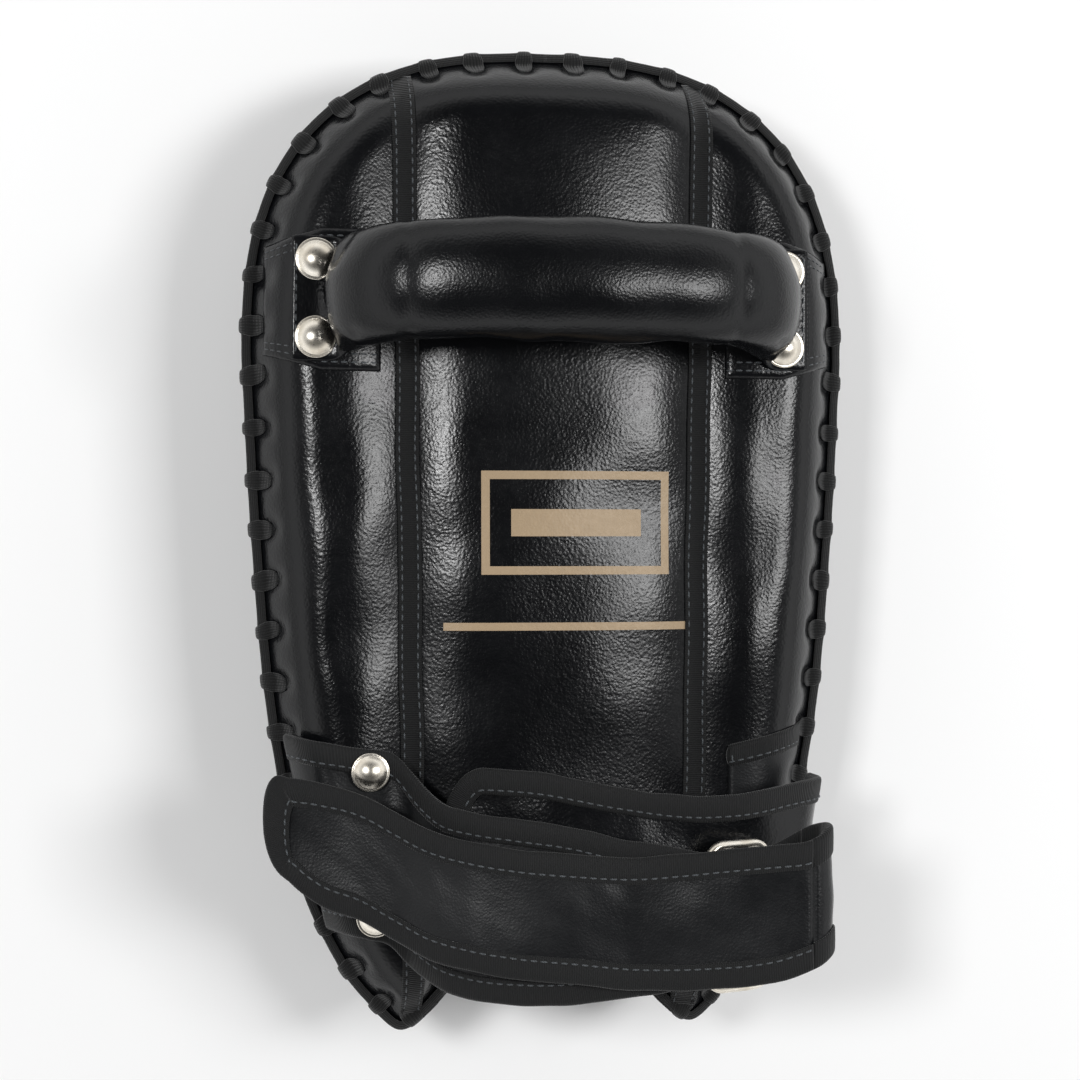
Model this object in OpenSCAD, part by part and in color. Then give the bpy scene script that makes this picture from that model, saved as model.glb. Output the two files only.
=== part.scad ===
// Hand-held kick shield: a foam pad with a flat strike face, a laced rim, a three-panel padded
// back, a riveted padded grip across the top and a hook-and-loop forearm cuff across the bottom.
// The pad lies on its strike face: X is across, +Y runs towards the crown, +Z is the holder's side.

/* [Pad] */
// Width over the laced edge
pad_width = 252; // [220:1:290]
// Length from the crown to the two bottom lobes
pad_length = 404; // [360:1:460]
// Height of the laced rim above the strike face
rim_height = 64; // [56:1:76]
// Height of the padded back above the rim
back_rise = 24; // [22:1:28]
// Thickness of the leather shells
leather = 2; // [1.6:0.1:2.4]

/* [Seams] */
// Distance of the back's seams from the centre line at the crown
seam_top = 62; // [50:1:66]
// Distance of the back's seams from the centre line at the lobes
seam_bottom = 57; // [50:1:62]
// Width of the woven seam tape
tape_width = 9.5; // [6:0.5:12]

/* [Grip] */
// Distance of the grip's centre line from the middle of the pad
grip_y = 95.5; // [80:0.5:110]
// Height of the grip's centre above the back
grip_lift = 44.5; // [42:0.5:56]
// Width of the grip across the hand
grip_width = 47; // [40:1:50]
// Thickness of the grip
grip_depth = 36; // [30:1:36]
// How far the middle of the grip leans towards the crown
grip_lean = 5; // [0:0.5:8]
// Clockwise turn of the whole handle, in degrees
grip_turn = 0.5; // [0:0.1:2]

/* [Cuff] */
// Width of the cuff's strap where it passes through the ring
strap_width = 50; // [46:1:52]
// Width of the strap where it is riveted down
strap_base_width = 77; // [66:1:80]
// Height of the strap's crest above the back
strap_lift = 37; // [37:1:44]
// Width of the woven binding on the strap's edges
binding_width = 10; // [7:0.5:12]

/* [Metal] */
// Diameter of the grip's domed rivet caps
rivet_diameter = 17; // [14:0.5:17]
// Diameter of the cuff's domed rivet caps
strap_rivet_diameter = 15.5; // [11:0.5:16]
// Diameter of the ring's wire
wire = 3.8; // [3:0.2:4]

/* [Hidden] */

gap = 0.2;                                 // air between neighbouring layers
half_width = pad_width / 2;
half_length = pad_length / 2;
back_top = rim_height + back_rise;         // top of the padded back
slab = 400;                                // larger than the pad, for cutting
shell_end = 22;                            // where the strike face's tray meets the gusset

// ---- Outline of the pad --------------------------------------------------------------------

// Right half of the rim below the crown, in half widths and half lengths: side, lobe, notch.
side_points = [
    [1.00, 0.37], [0.968, 0.00], [0.90, -0.42], [0.765, -0.77], [0.60, -0.935],
    [0.475, -0.998], [0.405, -0.967], [0.315, -0.912], [0, -0.88]
];
crown_steps = 14;
crown_power = 2.6;                         // roundness of the crown's super-ellipse
side_steps = 4;

function super(c, power) = sign(c) * pow(abs(c), 2 / power);
function catmull(a, b, c, d, t) =
    0.5 * (2 * b + (c - a) * t + (2 * a - 5 * b + 4 * c - d) * t * t
           + (3 * b - a - 3 * c + d) * t * t * t);
function at(list, i) = list[max(0, min(len(list) - 1, i))];
function spline(list, steps) = concat(
    [for (i = [0 : len(list) - 2], s = [0 : steps - 1])
        catmull(at(list, i - 1), list[i], list[i + 1], at(list, i + 2), s / steps)],
    [list[len(list) - 1]]
);

crown_base = side_points[0].y;
crown = [for (i = [0 : crown_steps - 1]) let (a = 90 - 90 * i / crown_steps)
    [super(cos(a), crown_power), crown_base + (1 - crown_base) * super(sin(a), crown_power)]];
right_half = concat(crown, spline(side_points, side_steps));
left_half = [for (i = [len(right_half) - 2 : -1 : 1]) [-right_half[i].x, right_half[i].y]];
outline = concat(right_half, left_half);   // unit outline, clockwise from the crown

// One closed ring of the outline, drawn in by inset at height z.
function ring_at(z, inset) = [for (p = outline)
    [p.x * (half_width - inset), p.y * (half_length - inset), z]];

// ---- Grids of points turned into solids -----------------------------------------------------

function flat(lists) = [for (l = lists, p = l) p];
function quad(a, b, c, d) = [[a, b, c], [a, c, d]];
function grid_faces(rows, columns, closed) = flat([
    for (i = [0 : rows - (closed ? 1 : 2)], j = [0 : columns - 1])
        let (k = (i + 1) % rows, l = (j + 1) % columns)
        quad(i * columns + j, i * columns + l, k * columns + l, k * columns + j)
]);

// Rings joined one to the next, with both ends closed by a flat face.
module capped(rings) {
    columns = len(rings[0]);
    first = [for (j = [columns - 1 : -1 : 0]) j];
    last = [for (j = [0 : columns - 1]) (len(rings) - 1) * columns + j];
    polyhedron(flat(rings), concat(grid_faces(len(rings), columns, false), [first, last]));
}

// Rings joined one to the next and back to the first.
module looped(rings) {
    polyhedron(flat(rings), grid_faces(len(rings), len(rings[0]), true));
}

// ---- Strips that follow a path ---------------------------------------------------------------

// A station is [x, y, z, half width, slant]: slant moves the two edges apart along X.
function tangent(path, i) =
    let (d = at(path, i + 1) - at(path, i - 1), flat_d = [d.x, d[2]]) flat_d / norm(flat_d);
// A profile point is [edge, offset, height]: edge is -1 or 1, height is along the normal.
function strip_ring(path, i, profile) = let (s = path[i], t = tangent(path, i))
    [for (p = profile) let (across = p[0] * s[3] + p[1])
        [s.x + s[4] * across - t.y * p[2], s.y + across, s[2] + t.x * p[2]]];
module strip(path, profile) {
    capped([for (i = [0 : len(path) - 1]) strip_ring(path, i, profile)]);
}

function band(margin, low, high) = [
    [-1, margin, low], [1, -margin, low], [1, -margin, high], [-1, margin, high]
];
tape = 0.8;                                // thickness of the woven tape
function edge_wrap(edge, thick) = let (
        inside = thick / 2 + gap / 2,
        outside = inside + tape,
        under = binding_width + 0.5,         // the leg underneath is a little wider
        s = -edge)
    [for (p = [
        [s * binding_width, inside], [s * binding_width, outside], [0, outside],
        [0, -outside], [s * under, -outside], [s * under, -inside],
        [s * tape, -inside], [s * tape, inside]
    ]) [edge, p[0], p[1]]];

function reversed(list) = [for (i = [len(list) - 1 : -1 : 0]) list[i]];
module edge_bindings(path, thick) {
    strip(path, edge_wrap(-1, thick));
    strip(path, reversed(edge_wrap(1, thick)));
}

// ---- Pad ------------------------------------------------------------------------------------

wall = 6;                                  // inset of the gusset's outer face
lace_reach = 7;                            // how far the lacing comes in over the back

module strike_face() {
    outer = [[0, 24], [2, 17], [7, 11], [14, 7.5], [shell_end, wall]];
    inner = [for (p = reversed(outer)) [min(shell_end, p.x + leather * 0.6), p.y + leather]];
    color([0.08, 0.08, 0.09]) capped([
        for (p = concat(outer, inner)) ring_at(p.x, p.y),
        ring_at(leather, 24 + 2 * leather)
    ]);
}

module side_gusset() {
    flange = rim_height - leather - gap / 2;
    profile = [
        [shell_end + gap, wall], [flange - 3, wall], [flange - 1, 5], [flange, 4.4],
        [flange, 0.8], [rim_height - gap / 2, 0.8], [rim_height - gap / 2, wall + leather],
        [shell_end + gap, wall + leather]
    ];
    color([0.08, 0.08, 0.09]) looped([for (p = profile) ring_at(p.x, p.y)]);
}

core_split = 38;
module dense_foam_core() {
    color([0.35, 0.35, 0.38]) capped([
        ring_at(leather + 1.6, 30), ring_at(8, 17.5), ring_at(16, 11), ring_at(core_split, 9)
    ]);
}
module soft_foam_core() {
    color([0.75, 0.74, 0.7]) capped([
        ring_at(core_split + gap, 9), ring_at(rim_height - gap, 9)
    ]);
}

// Outer face of the back as [height above the rim, inset], from the flange to the flat top.
back_profile = [
    [leather, 0.8], [leather, lace_reach + 0.5], [6, 9.8], [13, 12.3], [20, 17],
    [back_rise - 1, 23], [back_rise, 32]
];
// A closed skin that follows the back, its faces lifted off the back by low and high.
module back_skin(low, high, first) {
    rows = [for (i = [first : len(back_profile) - 1]) back_profile[i]];
    capped([
        for (p = reversed(rows)) ring_at(rim_height + p.x + low, p.y - low),
        for (p = rows) ring_at(rim_height + p.x + high, p.y - high)
    ]);
}

// Plan of the strip between two distances from the seams' line; side is -1, 0 or 1.
function seam_x(y) = seam_bottom + (seam_top - seam_bottom) * (y + half_length) / pad_length;
module seam_band(from, to) {
    linear_extrude(slab) polygon([
        [from + seam_x(-slab), -slab], [to + seam_x(-slab), -slab],
        [to + seam_x(slab), slab], [from + seam_x(slab), slab]
    ]);
}
module centre_band(shrink) {
    linear_extrude(slab) polygon([
        [shrink - seam_x(-slab), -slab], [seam_x(-slab) - shrink, -slab],
        [seam_x(slab) - shrink, slab], [shrink - seam_x(slab), slab]
    ]);
}

module rivet_holes(places, radius) {
    for (p = places) translate([p.x, p.y, rim_height]) cylinder(r = radius, h = slab, $fn = 32);
}

module back_panel_side(side, places) {
    color([0.07, 0.07, 0.08]) difference() {
        intersection() {
            back_skin(-leather, 0, 0);
            scale_x(side) seam_band(gap / 2, slab);
        }
        rivet_holes(places, post_radius + gap);
    }
}
module scale_x(side) { mirror([side < 0 ? 1 : 0, 0, 0]) children(); }

module back_foam_block() {
    capped([
        ring_at(rim_height + gap, 12.6), ring_at(rim_height + 4, 12.6),
        ring_at(rim_height + 10, 14.6), ring_at(rim_height + 17, 19.6),
        ring_at(back_top - 4, 26), ring_at(back_top - leather - gap, 34)
    ]);
}
module back_foam_side(side, places) {
    color([0.75, 0.74, 0.7]) difference() {
        intersection() {
            back_foam_block();
            scale_x(side) seam_band(gap, slab);
        }
        for (p = places) translate([p.x, p.y, burr_z - gap])
            cylinder(r = burr_radius + gap, h = slab, $fn = 32);
    }
}

module back_panel_left() { back_panel_side(-1, concat(handle_rivets(-1), strap_rivet_places)); }
module back_panel_right() { back_panel_side(1, handle_rivets(1)); }
module back_panel_centre() {
    color([0.07, 0.07, 0.08]) intersection() {
        back_skin(-leather, 0, 0);
        centre_band(gap / 2);
    }
}
module back_foam_left() { back_foam_side(-1, concat(handle_rivets(-1), strap_rivet_places)); }
module back_foam_right() { back_foam_side(1, handle_rivets(1)); }
module back_foam_centre() {
    color([0.75, 0.74, 0.7]) intersection() { back_foam_block(); centre_band(gap); }
}

module seam_tape(side) {
    color([0.1, 0.1, 0.11]) intersection() {
        back_skin(gap, gap + tape, 2);
        scale_x(side) seam_band(-tape_width / 2, tape_width / 2);
    }
}

module edge_lace() {
    low = rim_height - leather - 3;
    high = rim_height + leather + 0.2;
    profile = [
        [low, 0], [high + 1.3, 0], [high + 1.3, lace_reach], [high, lace_reach],
        [high, 0.6], [low + 1.2, 0.6], [low + 1.2, 4], [low, 4]
    ];
    color([0.05, 0.05, 0.05]) looped([for (p = profile) ring_at(p.x, p.y)]);
}

// A leather patch on the back, cut to a plan outline.
module back_patch(thick) {
    intersection() {
        back_skin(gap, gap + thick, 2);
        linear_extrude(slab) children();
    }
}

// ---- Rivets -----------------------------------------------------------------------------------

post_radius = 2;
burr_radius = 4.5;
burr_thick = 1.2;
burr_z = back_top - 8 - burr_thick;          // clear of the skin where the shoulder drops away

// Domed cap on a post that runs down to its burr under the skin; seat is what the cap sits on.
module rivet(seat, radius) {
    dome = radius * 0.4;
    edge = 0.8;                              // height of the cap's straight rim
    ball = (radius * radius + dome * dome) / (2 * dome);
    translate([0, 0, seat]) cylinder(r = radius, h = edge, $fn = 48);
    intersection() {
        translate([0, 0, seat + edge - 0.01]) cylinder(r = radius, h = dome + 1, $fn = 48);
        translate([0, 0, seat + edge + dome - ball]) sphere(r = ball, $fn = 96);
    }
    translate([0, 0, burr_z + burr_thick]) cylinder(
        r = post_radius, h = seat + 0.5 - burr_z - burr_thick, $fn = 32);
}
module rivets(places, seat, radius) {
    color([0.78, 0.76, 0.7]) for (p = places) translate([p.x, p.y, 0]) rivet(seat, radius);
}
module burrs(places) {
    color([0.7, 0.69, 0.65]) for (p = places) translate([p.x, p.y, burr_z])
        cylinder(r = burr_radius, h = burr_thick - 0.05, $fn = 32);
}

// ---- Handle -----------------------------------------------------------------------------------

rivet_pitch = 31;
handle_thick = 2;
tab_thick = 2;
handle_seat = back_top + gap + tab_thick + gap;     // underside of the handle's strap
handle_shift = 1;                                   // the grip sits a little off centre
function turned(p) = [
    p.x * cos(grip_turn) + (p.y - grip_y) * sin(grip_turn),
    grip_y - p.x * sin(grip_turn) + (p.y - grip_y) * cos(grip_turn)
];
function handle_rivets(side) = [for (d = [-0.5, 0.5])
    turned([side < 0 ? -97.5 : 94.5, grip_y + d * rivet_pitch])];

// Half of the handle's centre line: distance from the middle, rise as a share of the lift,
// and the grip's section as a share of its full size (0 where there is no grip).
handle_half = [
    [105.5, 0, 0, 0], [91, 0, 0, 0], [87.6, 0.03, 0, 0], [85.6, 0.11, 0.5, 0.94],
    [83.8, 0.24, 0.66, 0.96], [80, 0.42, 0.82, 0.98], [71, 0.66, 0.95, 1],
    [54, 0.86, 1, 1], [28, 0.97, 1, 1]
];
handle_low = handle_seat + handle_thick / 2;
handle_high = back_top + grip_lift;
function handle_station(p, side) = [
    side * p.x + (p.y > 0 ? handle_shift : 0), grip_y + grip_lean * p.y,
    handle_low + (handle_high - handle_low) * p.y, p[2], p[3]
];
handle_path = concat(
    [for (p = handle_half) handle_station(p, -1)],
    [[handle_shift, grip_y + grip_lean, handle_high, 1, 1]],
    [for (p = reversed(handle_half)) handle_station(p, 1)]
);
grip_path = [for (s = handle_path) if (s[3] > 0) s];
grip_sides = 24;
module turn_handle() {
    translate([0, grip_y, 0]) rotate([0, 0, -grip_turn]) translate([0, -grip_y, 0]) children();
}

// A ring of the grip's section, inside its surface by depth.
function grip_ring(i, depth) = let (s = grip_path[i], t = tangent(grip_path, i))
    [for (j = [0 : grip_sides - 1]) let (
        a = -360 * j / grip_sides,
        across = (grip_width / 2 * s[4] - depth) * cos(a),
        out = (grip_depth / 2 * s[3] - depth) * sin(a))
        [s.x - t.y * out, s.y + across, s[2] + t.x * out]];
// A ring of the slot that the handle's strap runs in.
slot_half = 14.5;
strap_end_half = 25;                       // the handle's strap is wider where it is riveted
slot_depth = 1.9;
function slot_ring(i) = let (s = grip_path[i], t = tangent(grip_path, i))
    [for (j = [0 : grip_sides - 1]) let (
        a = -360 * j / grip_sides,
        across = slot_half * super(cos(a), 6),
        out = slot_depth * super(sin(a), 6))
        [s.x - t.y * out, s.y + across, s[2] + t.x * out]];
cover_thick = 1.6;
grip_ends = len(grip_path) - 1;

module handle_tab(side) {
    color([0.08, 0.08, 0.09]) difference() {
        back_patch(tab_thick) turn_plan() scale_x(side)
            translate([70, grip_y - 28.5]) square([half_width - 8 - 70, 57]);
        rivet_holes(handle_rivets(side), post_radius + gap);
    }
}
module turn_plan() {
    translate([0, grip_y]) rotate(-grip_turn) translate([0, -grip_y]) children();
}
module handle_strap() {
    stations = [for (s = handle_path)
        [s.x, s.y, s[2], s[3] > 0 ? slot_half - 1.5 : strap_end_half, 0]];
    color([0.09, 0.09, 0.1]) difference() {
        turn_handle() strip(stations, band(0, -handle_thick / 2, handle_thick / 2));
        rivet_holes(concat(handle_rivets(-1), handle_rivets(1)), post_radius + gap);
        for (p = concat(handle_rivets(-1), handle_rivets(1)))
            translate([p.x, p.y, handle_seat + handle_thick - 0.05])
                cylinder(r = rivet_diameter / 2 + gap, h = slab, $fn = 48);
    }
}
module grip_foam() {
    color([0.75, 0.74, 0.7]) turn_handle() looped(concat(
        [for (i = [1 : grip_ends - 1]) grip_ring(i, cover_thick + gap)],
        [for (i = [grip_ends - 1 : -1 : 1]) slot_ring(i)]
    ));
}
module grip_cover() {
    color([0.06, 0.06, 0.07]) turn_handle() looped(concat(
        [for (i = [0 : grip_ends]) grip_ring(i, 0)],
        [for (i = [grip_ends : -1 : 0]) grip_ring(i, cover_thick)]
    ));
}

// ---- Cuff -------------------------------------------------------------------------------------

strap_thick = 2.2;
patch_thick = 1.3;
strap_seat = back_top + gap + tab_thick + gap + tape + 0.1;   // underside of the strap's core
crest = back_top + strap_lift;
narrow = strap_width / 2;
broad = strap_base_width / 2;
ring_y = -149.5;                              // the strap's centre line where the ring holds it
fold_x = 99.5;                             // the strap turns back on itself here
fold_z = crest + 14.4;
cuff_y = -123;
strap_rivet_places = [[-76, -92.5], [-74, -150.5]];
rivet_clear = 0.3;                          // air under the caps, over the binding

// The strap from its rivets to the lower half of the fold, left to right.
strap_run_points = [
    [-99.8, cuff_y + 5, rim_height + 13.4, broad + 1, -0.22],
    [-97.2, cuff_y + 4.8, rim_height + 18.6, broad + 0.9, -0.22],
    [-93.6, cuff_y + 4.4, rim_height + 24.6, broad + 0.7, -0.22],
    [-88.8, cuff_y + 3.6, rim_height + 28.2, broad + 0.4, -0.215],
    [-82, cuff_y + 2.3, strap_seat + 1.1, broad, -0.14],
    [-66.5, cuff_y - 1.6, strap_seat + 1.1, broad, 0],
    [-60.5, cuff_y - 7.5, crest - 30, broad, 0],
    [-55, cuff_y - 13, crest - 24, broad - 1, 0],
    [-48, cuff_y - 18, crest - 16, broad - 2, 0],
    [-38, cuff_y - 20.5, crest - 9, broad - 2, 0],
    [-20, cuff_y - 22.5, crest - 3.5, broad - 2.5, 0],
    [0, cuff_y - 24, crest - 1, broad - 4, 0],
    [20, ring_y + 1, crest - 0.2, broad - 7.5, 0],
    [40, ring_y + 0.6, crest - 0.3, narrow + 3, 0],
    [52, ring_y + 0.9, crest - 0.4, narrow, 0],
    [68, ring_y + 1.2, crest + 1, narrow, 0],
    [79.5, ring_y + 3.5, crest + 2.5, narrow, 0],
    [88.5, ring_y + 8.5, crest + 4.5, narrow, 0],
    [94.6, ring_y + 12, crest + 7.2, narrow, 0],
    [98.4, ring_y + 13.3, crest + 10.8, narrow, 0],
    [fold_x, ring_y + 13.6, fold_z - 1.2, narrow, 0],
    [fold_x, ring_y + 13.6, fold_z - 0.2, narrow, 0]
];
// The flap from its rounded free end to the upper half of the fold, left to right.
flap_points = [
    [-118, -112, crest - 27, narrow - 14, 0],
    [-116, -112.2, crest - 26.9, narrow - 10.5, 0],
    [-112, -112.8, crest - 26.6, narrow - 7, 0],
    [-104, -116.9, crest - 26, narrow - 3.2, 0],
    [-95, -120.6, crest - 25, narrow - 1, 0],
    [-81.5, -124.7, crest - 22.3, narrow - 0.3, 0],
    [-68, -131.8, crest - 17.5, narrow, 0],
    [-55, -138.5, crest - 10.6, narrow, 0],
    [-40, -142.5, crest - 3.2, narrow, 0],
    [-21, -145.5, crest + 2.4, narrow, 0],
    [0, -147.5, crest + 5.1, narrow, 0],
    [24, ring_y, crest + 6.4, narrow + 0.6, 0],
    [40, ring_y + 0.6, crest + 9.6, narrow + 1.2, 0],
    [55, ring_y + 2, crest + 13.9, narrow + 1.7, 0],
    [69, ring_y + 3.6, crest + 17.9, narrow + 1.7, 0],
    [80.4, ring_y + 5.4, crest + 20.4, narrow + 1, 0],
    [89.3, ring_y + 7.6, crest + 21.8, narrow, 0],
    [94.6, ring_y + 10, crest + 21.4, narrow, 0],
    [98.4, ring_y + 12.8, crest + 18.4, narrow, 0],
    [fold_x, ring_y + 13.6, fold_z + 1.2, narrow, 0],
    [fold_x, ring_y + 13.6, fold_z + 0.2, narrow, 0]
];
function between(path, low, high) = [for (s = path) if (s.x >= low && s.x <= high) s];
function with_half_width(path, half) = [for (s = path) [s.x, s.y, s[2], half, s[4]]];
contact = [-41, 25];                         // the stretch where hook and loop meet
patch_half = narrow - binding_width - 1;

module strap_base() {
    color([0.09, 0.09, 0.1]) difference() {
        back_patch(tab_thick) polygon([
            [-half_width, cuff_y + broad + 8], [-64, cuff_y + broad - 2],
            [-64, cuff_y - broad - 4], [-half_width, cuff_y - broad + 9]
        ]);
        outside_lace();
        rivet_holes(strap_rivet_places, post_radius + gap);
    }
}
// Everything from the lacing's inner edge outwards.
module outside_lace() {
    keep = [for (p = ring_at(0, lace_reach + 0.6)) [p.x, p.y]];
    linear_extrude(slab) difference() { square(2 * slab, center = true); polygon(keep); }
}
module strap_run() {
    color([0.08, 0.08, 0.09]) difference() {
        strip(strap_run_points, band(tape + gap / 2, -strap_thick / 2, strap_thick / 2));
        rivet_holes(strap_rivet_places, post_radius + gap);
    }
}
module strap_run_binding() {
    color([0.11, 0.11, 0.12]) difference() {
        edge_bindings(strap_run_points, strap_thick);
        rivet_holes(strap_rivet_places, post_radius + gap);
    }
}
module strap_loop_patch() {
    low = strap_thick / 2 + gap / 2;
    color([0.13, 0.13, 0.14]) strip(
        with_half_width(between(strap_run_points, contact[0] - 1, contact[1]), patch_half),
        band(0, low, low + patch_thick));
}
module strap_rivets() {
    rivets(strap_rivet_places, strap_seat + strap_thick + gap / 2 + tape + rivet_clear,
           strap_rivet_diameter / 2);
}
module strap_burrs() { burrs(strap_rivet_places); }

module flap() {
    color([0.1, 0.1, 0.11])
        strip(flap_points, band(tape + gap / 2, -strap_thick / 2, strap_thick / 2));
}
module flap_binding() {
    color([0.11, 0.11, 0.12]) edge_bindings(flap_points, strap_thick);
}
module flap_hook_patch() {
    high = -strap_thick / 2 - gap / 2;
    color([0.13, 0.13, 0.14]) strip(
        with_half_width(between(flap_points, contact[0], contact[1]), patch_half),
        band(0, high - patch_thick, high));
}

// The tongue guards the arm from the ring; it folds back from its tab at the pad's right edge.
tongue_thick = 2.4;
tongue_half = 36;
tongue_points = [
    [101.2, -133, back_top - 4, tongue_half, 0.17],
    [102.2, -133.2, back_top + 5, tongue_half, 0.17],
    [98, -133.5, back_top + 14.5, tongue_half, 0.15],
    [89, -134.5, back_top + 21.5, tongue_half, 0.1],
    [74, -137, crest - 9.6, tongue_half, 0.04],
    [50, -138, crest - 7.8, tongue_half, 0],
    [20, -134, crest - 8.6, tongue_half, 0],
    [-12, -128, crest - 13.6, tongue_half, 0],
    [-32, -126, crest - 20.6, tongue_half - 1, 0],
    [-43, -126.5, crest - 25, tongue_half - 6, 0],
    [-49, -127, crest - 27, tongue_half - 16, 0]
];
module tongue_tab() {
    color([0.09, 0.09, 0.1]) difference() {
        back_patch(tab_thick) polygon([
            [71, cuff_y + 39], [half_width, cuff_y + 49],
            [half_width, cuff_y - 40], [71, cuff_y - 42]
        ]);
        outside_lace();
    }
}
module tongue() {
    color([0.08, 0.08, 0.09])
        strip(reversed(tongue_points),
            band(tape + gap / 2, -tongue_thick / 2, tongue_thick / 2));
}
module tongue_binding() {
    color([0.11, 0.11, 0.12]) edge_bindings(reversed(tongue_points), tongue_thick);
}

// ---- Ring and its leather chape ------------------------------------------------------------------

wire_radius = wire / 2;
ring_long = strap_width + 2.4 + wire;         // between the centres of the short sides
ring_short = 27;                             // between the centres of the two long bars
ring_corner = 6;
ring_pivot = [79.5, ring_y + 1, crest - 5.2];     // centre of the bar held by the chape
ring_tilt = 20.5;

module ring_side(length) { cylinder(r = wire_radius, h = length, center = true, $fn = 24); }
module ring() {
    dx = ring_short / 2 - ring_corner;
    dy = ring_long / 2 - ring_corner;
    color([0.78, 0.76, 0.7]) translate(ring_pivot) rotate([0, ring_tilt, 0])
        translate([-ring_short / 2, 0, 0]) {
            for (s = [-1, 1]) {
                translate([s * ring_short / 2, 0, 0]) rotate([90, 0, 0]) ring_side(2 * dy);
                translate([0, s * ring_long / 2, 0]) rotate([0, 90, 0]) ring_side(2 * dx);
            }
            for (q = [0 : 3]) let (sx = [1, -1, -1, 1][q], sy = [1, 1, -1, -1][q])
                translate([sx * dx, sy * dy, 0]) rotate([0, 0, 90 * q])
                    rotate_extrude(angle = 90, $fn = 48)
                        translate([ring_corner, 0]) circle(r = wire_radius, $fn = 24);
        }
}

// The chape's two legs rise from the tongue and meet in a loop round the ring's bar.
chape_thick = 1.6;
chape_half = 21;
chape_top_end = [93.9, back_top + 25];
chape_under_end = [92.4, back_top + 22.9];
module ring_chape() {
    loop = wire_radius + 0.35 + chape_thick / 2;
    y = ring_y + 1;
    wrap = [for (a = [60 : 20 : 240])
        [ring_pivot.x + loop * cos(a), y, ring_pivot[2] + loop * sin(a), chape_half, 0]];
    color([0.08, 0.08, 0.09]) strip(
        concat(
            [[chape_top_end.x, y, chape_top_end.y, chape_half, 0]],
            wrap,
            [[chape_under_end.x, y, chape_under_end.y, chape_half, 0]]),
        band(0, -chape_thick / 2, chape_thick / 2));
}

// ---- Everything ----------------------------------------------------------------------------------

strike_face();
side_gusset();
dense_foam_core();
soft_foam_core();
back_panel_left();
back_panel_centre();
back_panel_right();
back_foam_left();
back_foam_centre();
back_foam_right();
seam_tape(-1);  // seam_tape_left
seam_tape(1);  // seam_tape_right
edge_lace();
handle_tab(-1);  // handle_tab_left
handle_tab(1);  // handle_tab_right
handle_strap();
grip_foam();
grip_cover();
rivets(handle_rivets(-1), handle_seat + handle_thick, rivet_diameter / 2);  // handle_rivets_left
rivets(handle_rivets(1), handle_seat + handle_thick, rivet_diameter / 2);  // handle_rivets_right
burrs(handle_rivets(-1));  // handle_burrs_left
burrs(handle_rivets(1));  // handle_burrs_right
strap_base();
strap_run();
strap_run_binding();
strap_loop_patch();
strap_rivets();
strap_burrs();
flap();
flap_binding();
flap_hook_patch();
tongue_tab();
tongue();
tongue_binding();
ring_chape();
ring();
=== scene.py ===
"""Looks of a hand-held kick shield: padded leather back, laced rim, riveted grip and forearm cuff.

Shapes are worked out in millimetres, in the CAD model's frame, and turned into metres as each
mesh is made. X is across, +Y runs towards the crown and +Z is the holder's side.
"""
import math

import bmesh
import bpy
import numpy as np
from mathutils import Matrix, Vector
from mathutils.bvhtree import BVHTree


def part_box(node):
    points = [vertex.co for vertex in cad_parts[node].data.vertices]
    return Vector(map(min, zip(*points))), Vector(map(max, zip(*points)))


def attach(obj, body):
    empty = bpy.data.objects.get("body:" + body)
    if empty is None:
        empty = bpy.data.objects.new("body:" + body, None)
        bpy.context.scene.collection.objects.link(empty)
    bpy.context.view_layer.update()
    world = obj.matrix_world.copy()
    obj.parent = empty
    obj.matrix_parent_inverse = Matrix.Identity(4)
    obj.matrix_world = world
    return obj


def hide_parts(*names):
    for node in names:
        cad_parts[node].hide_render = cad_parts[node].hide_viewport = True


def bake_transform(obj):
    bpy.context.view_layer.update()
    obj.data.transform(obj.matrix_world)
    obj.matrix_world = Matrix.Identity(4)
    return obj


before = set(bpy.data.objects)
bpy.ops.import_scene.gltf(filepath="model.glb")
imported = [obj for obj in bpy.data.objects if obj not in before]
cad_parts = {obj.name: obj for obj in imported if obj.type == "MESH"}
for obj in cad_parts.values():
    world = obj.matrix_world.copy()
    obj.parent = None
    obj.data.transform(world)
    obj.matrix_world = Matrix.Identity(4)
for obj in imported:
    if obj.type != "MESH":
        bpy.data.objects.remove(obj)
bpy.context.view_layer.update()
scene = bpy.context.scene
MM = 0.001


def cad(node):
    """Lowest and highest corner of a CAD node, in millimetres."""
    low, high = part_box(node)
    return np.array(low) / MM, np.array(high) / MM


# ---- Main sizes, from the frame ---------------------------------------------------------------

half_width = cad("edge_lace")[1][0]
half_length = cad("edge_lace")[1][1]
rim = cad("side_gusset")[1][2] + 0.1
back_top = cad("back_panel_centre")[1][2]
crest = back_top + 37
handle_seat = cad("handle_strap")[0][2]
grip_cap_radius, strap_cap_radius = 8.5, 7.75
cap_rim, cap_dome = 0.8, 0.4    # a cap's straight rim, and its dome as a share of its radius
handle_top = cad("handle_rivets_left")[1][2] - cap_rim - cap_dome * grip_cap_radius
strap_rivet_seat = cad("strap_rivets")[1][2] - cap_rim - cap_dome * strap_cap_radius
grip_y = 95.5
sides = ((-1, "left"), (1, "right"))


# ---- Camera and light -------------------------------------------------------------------------

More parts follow.
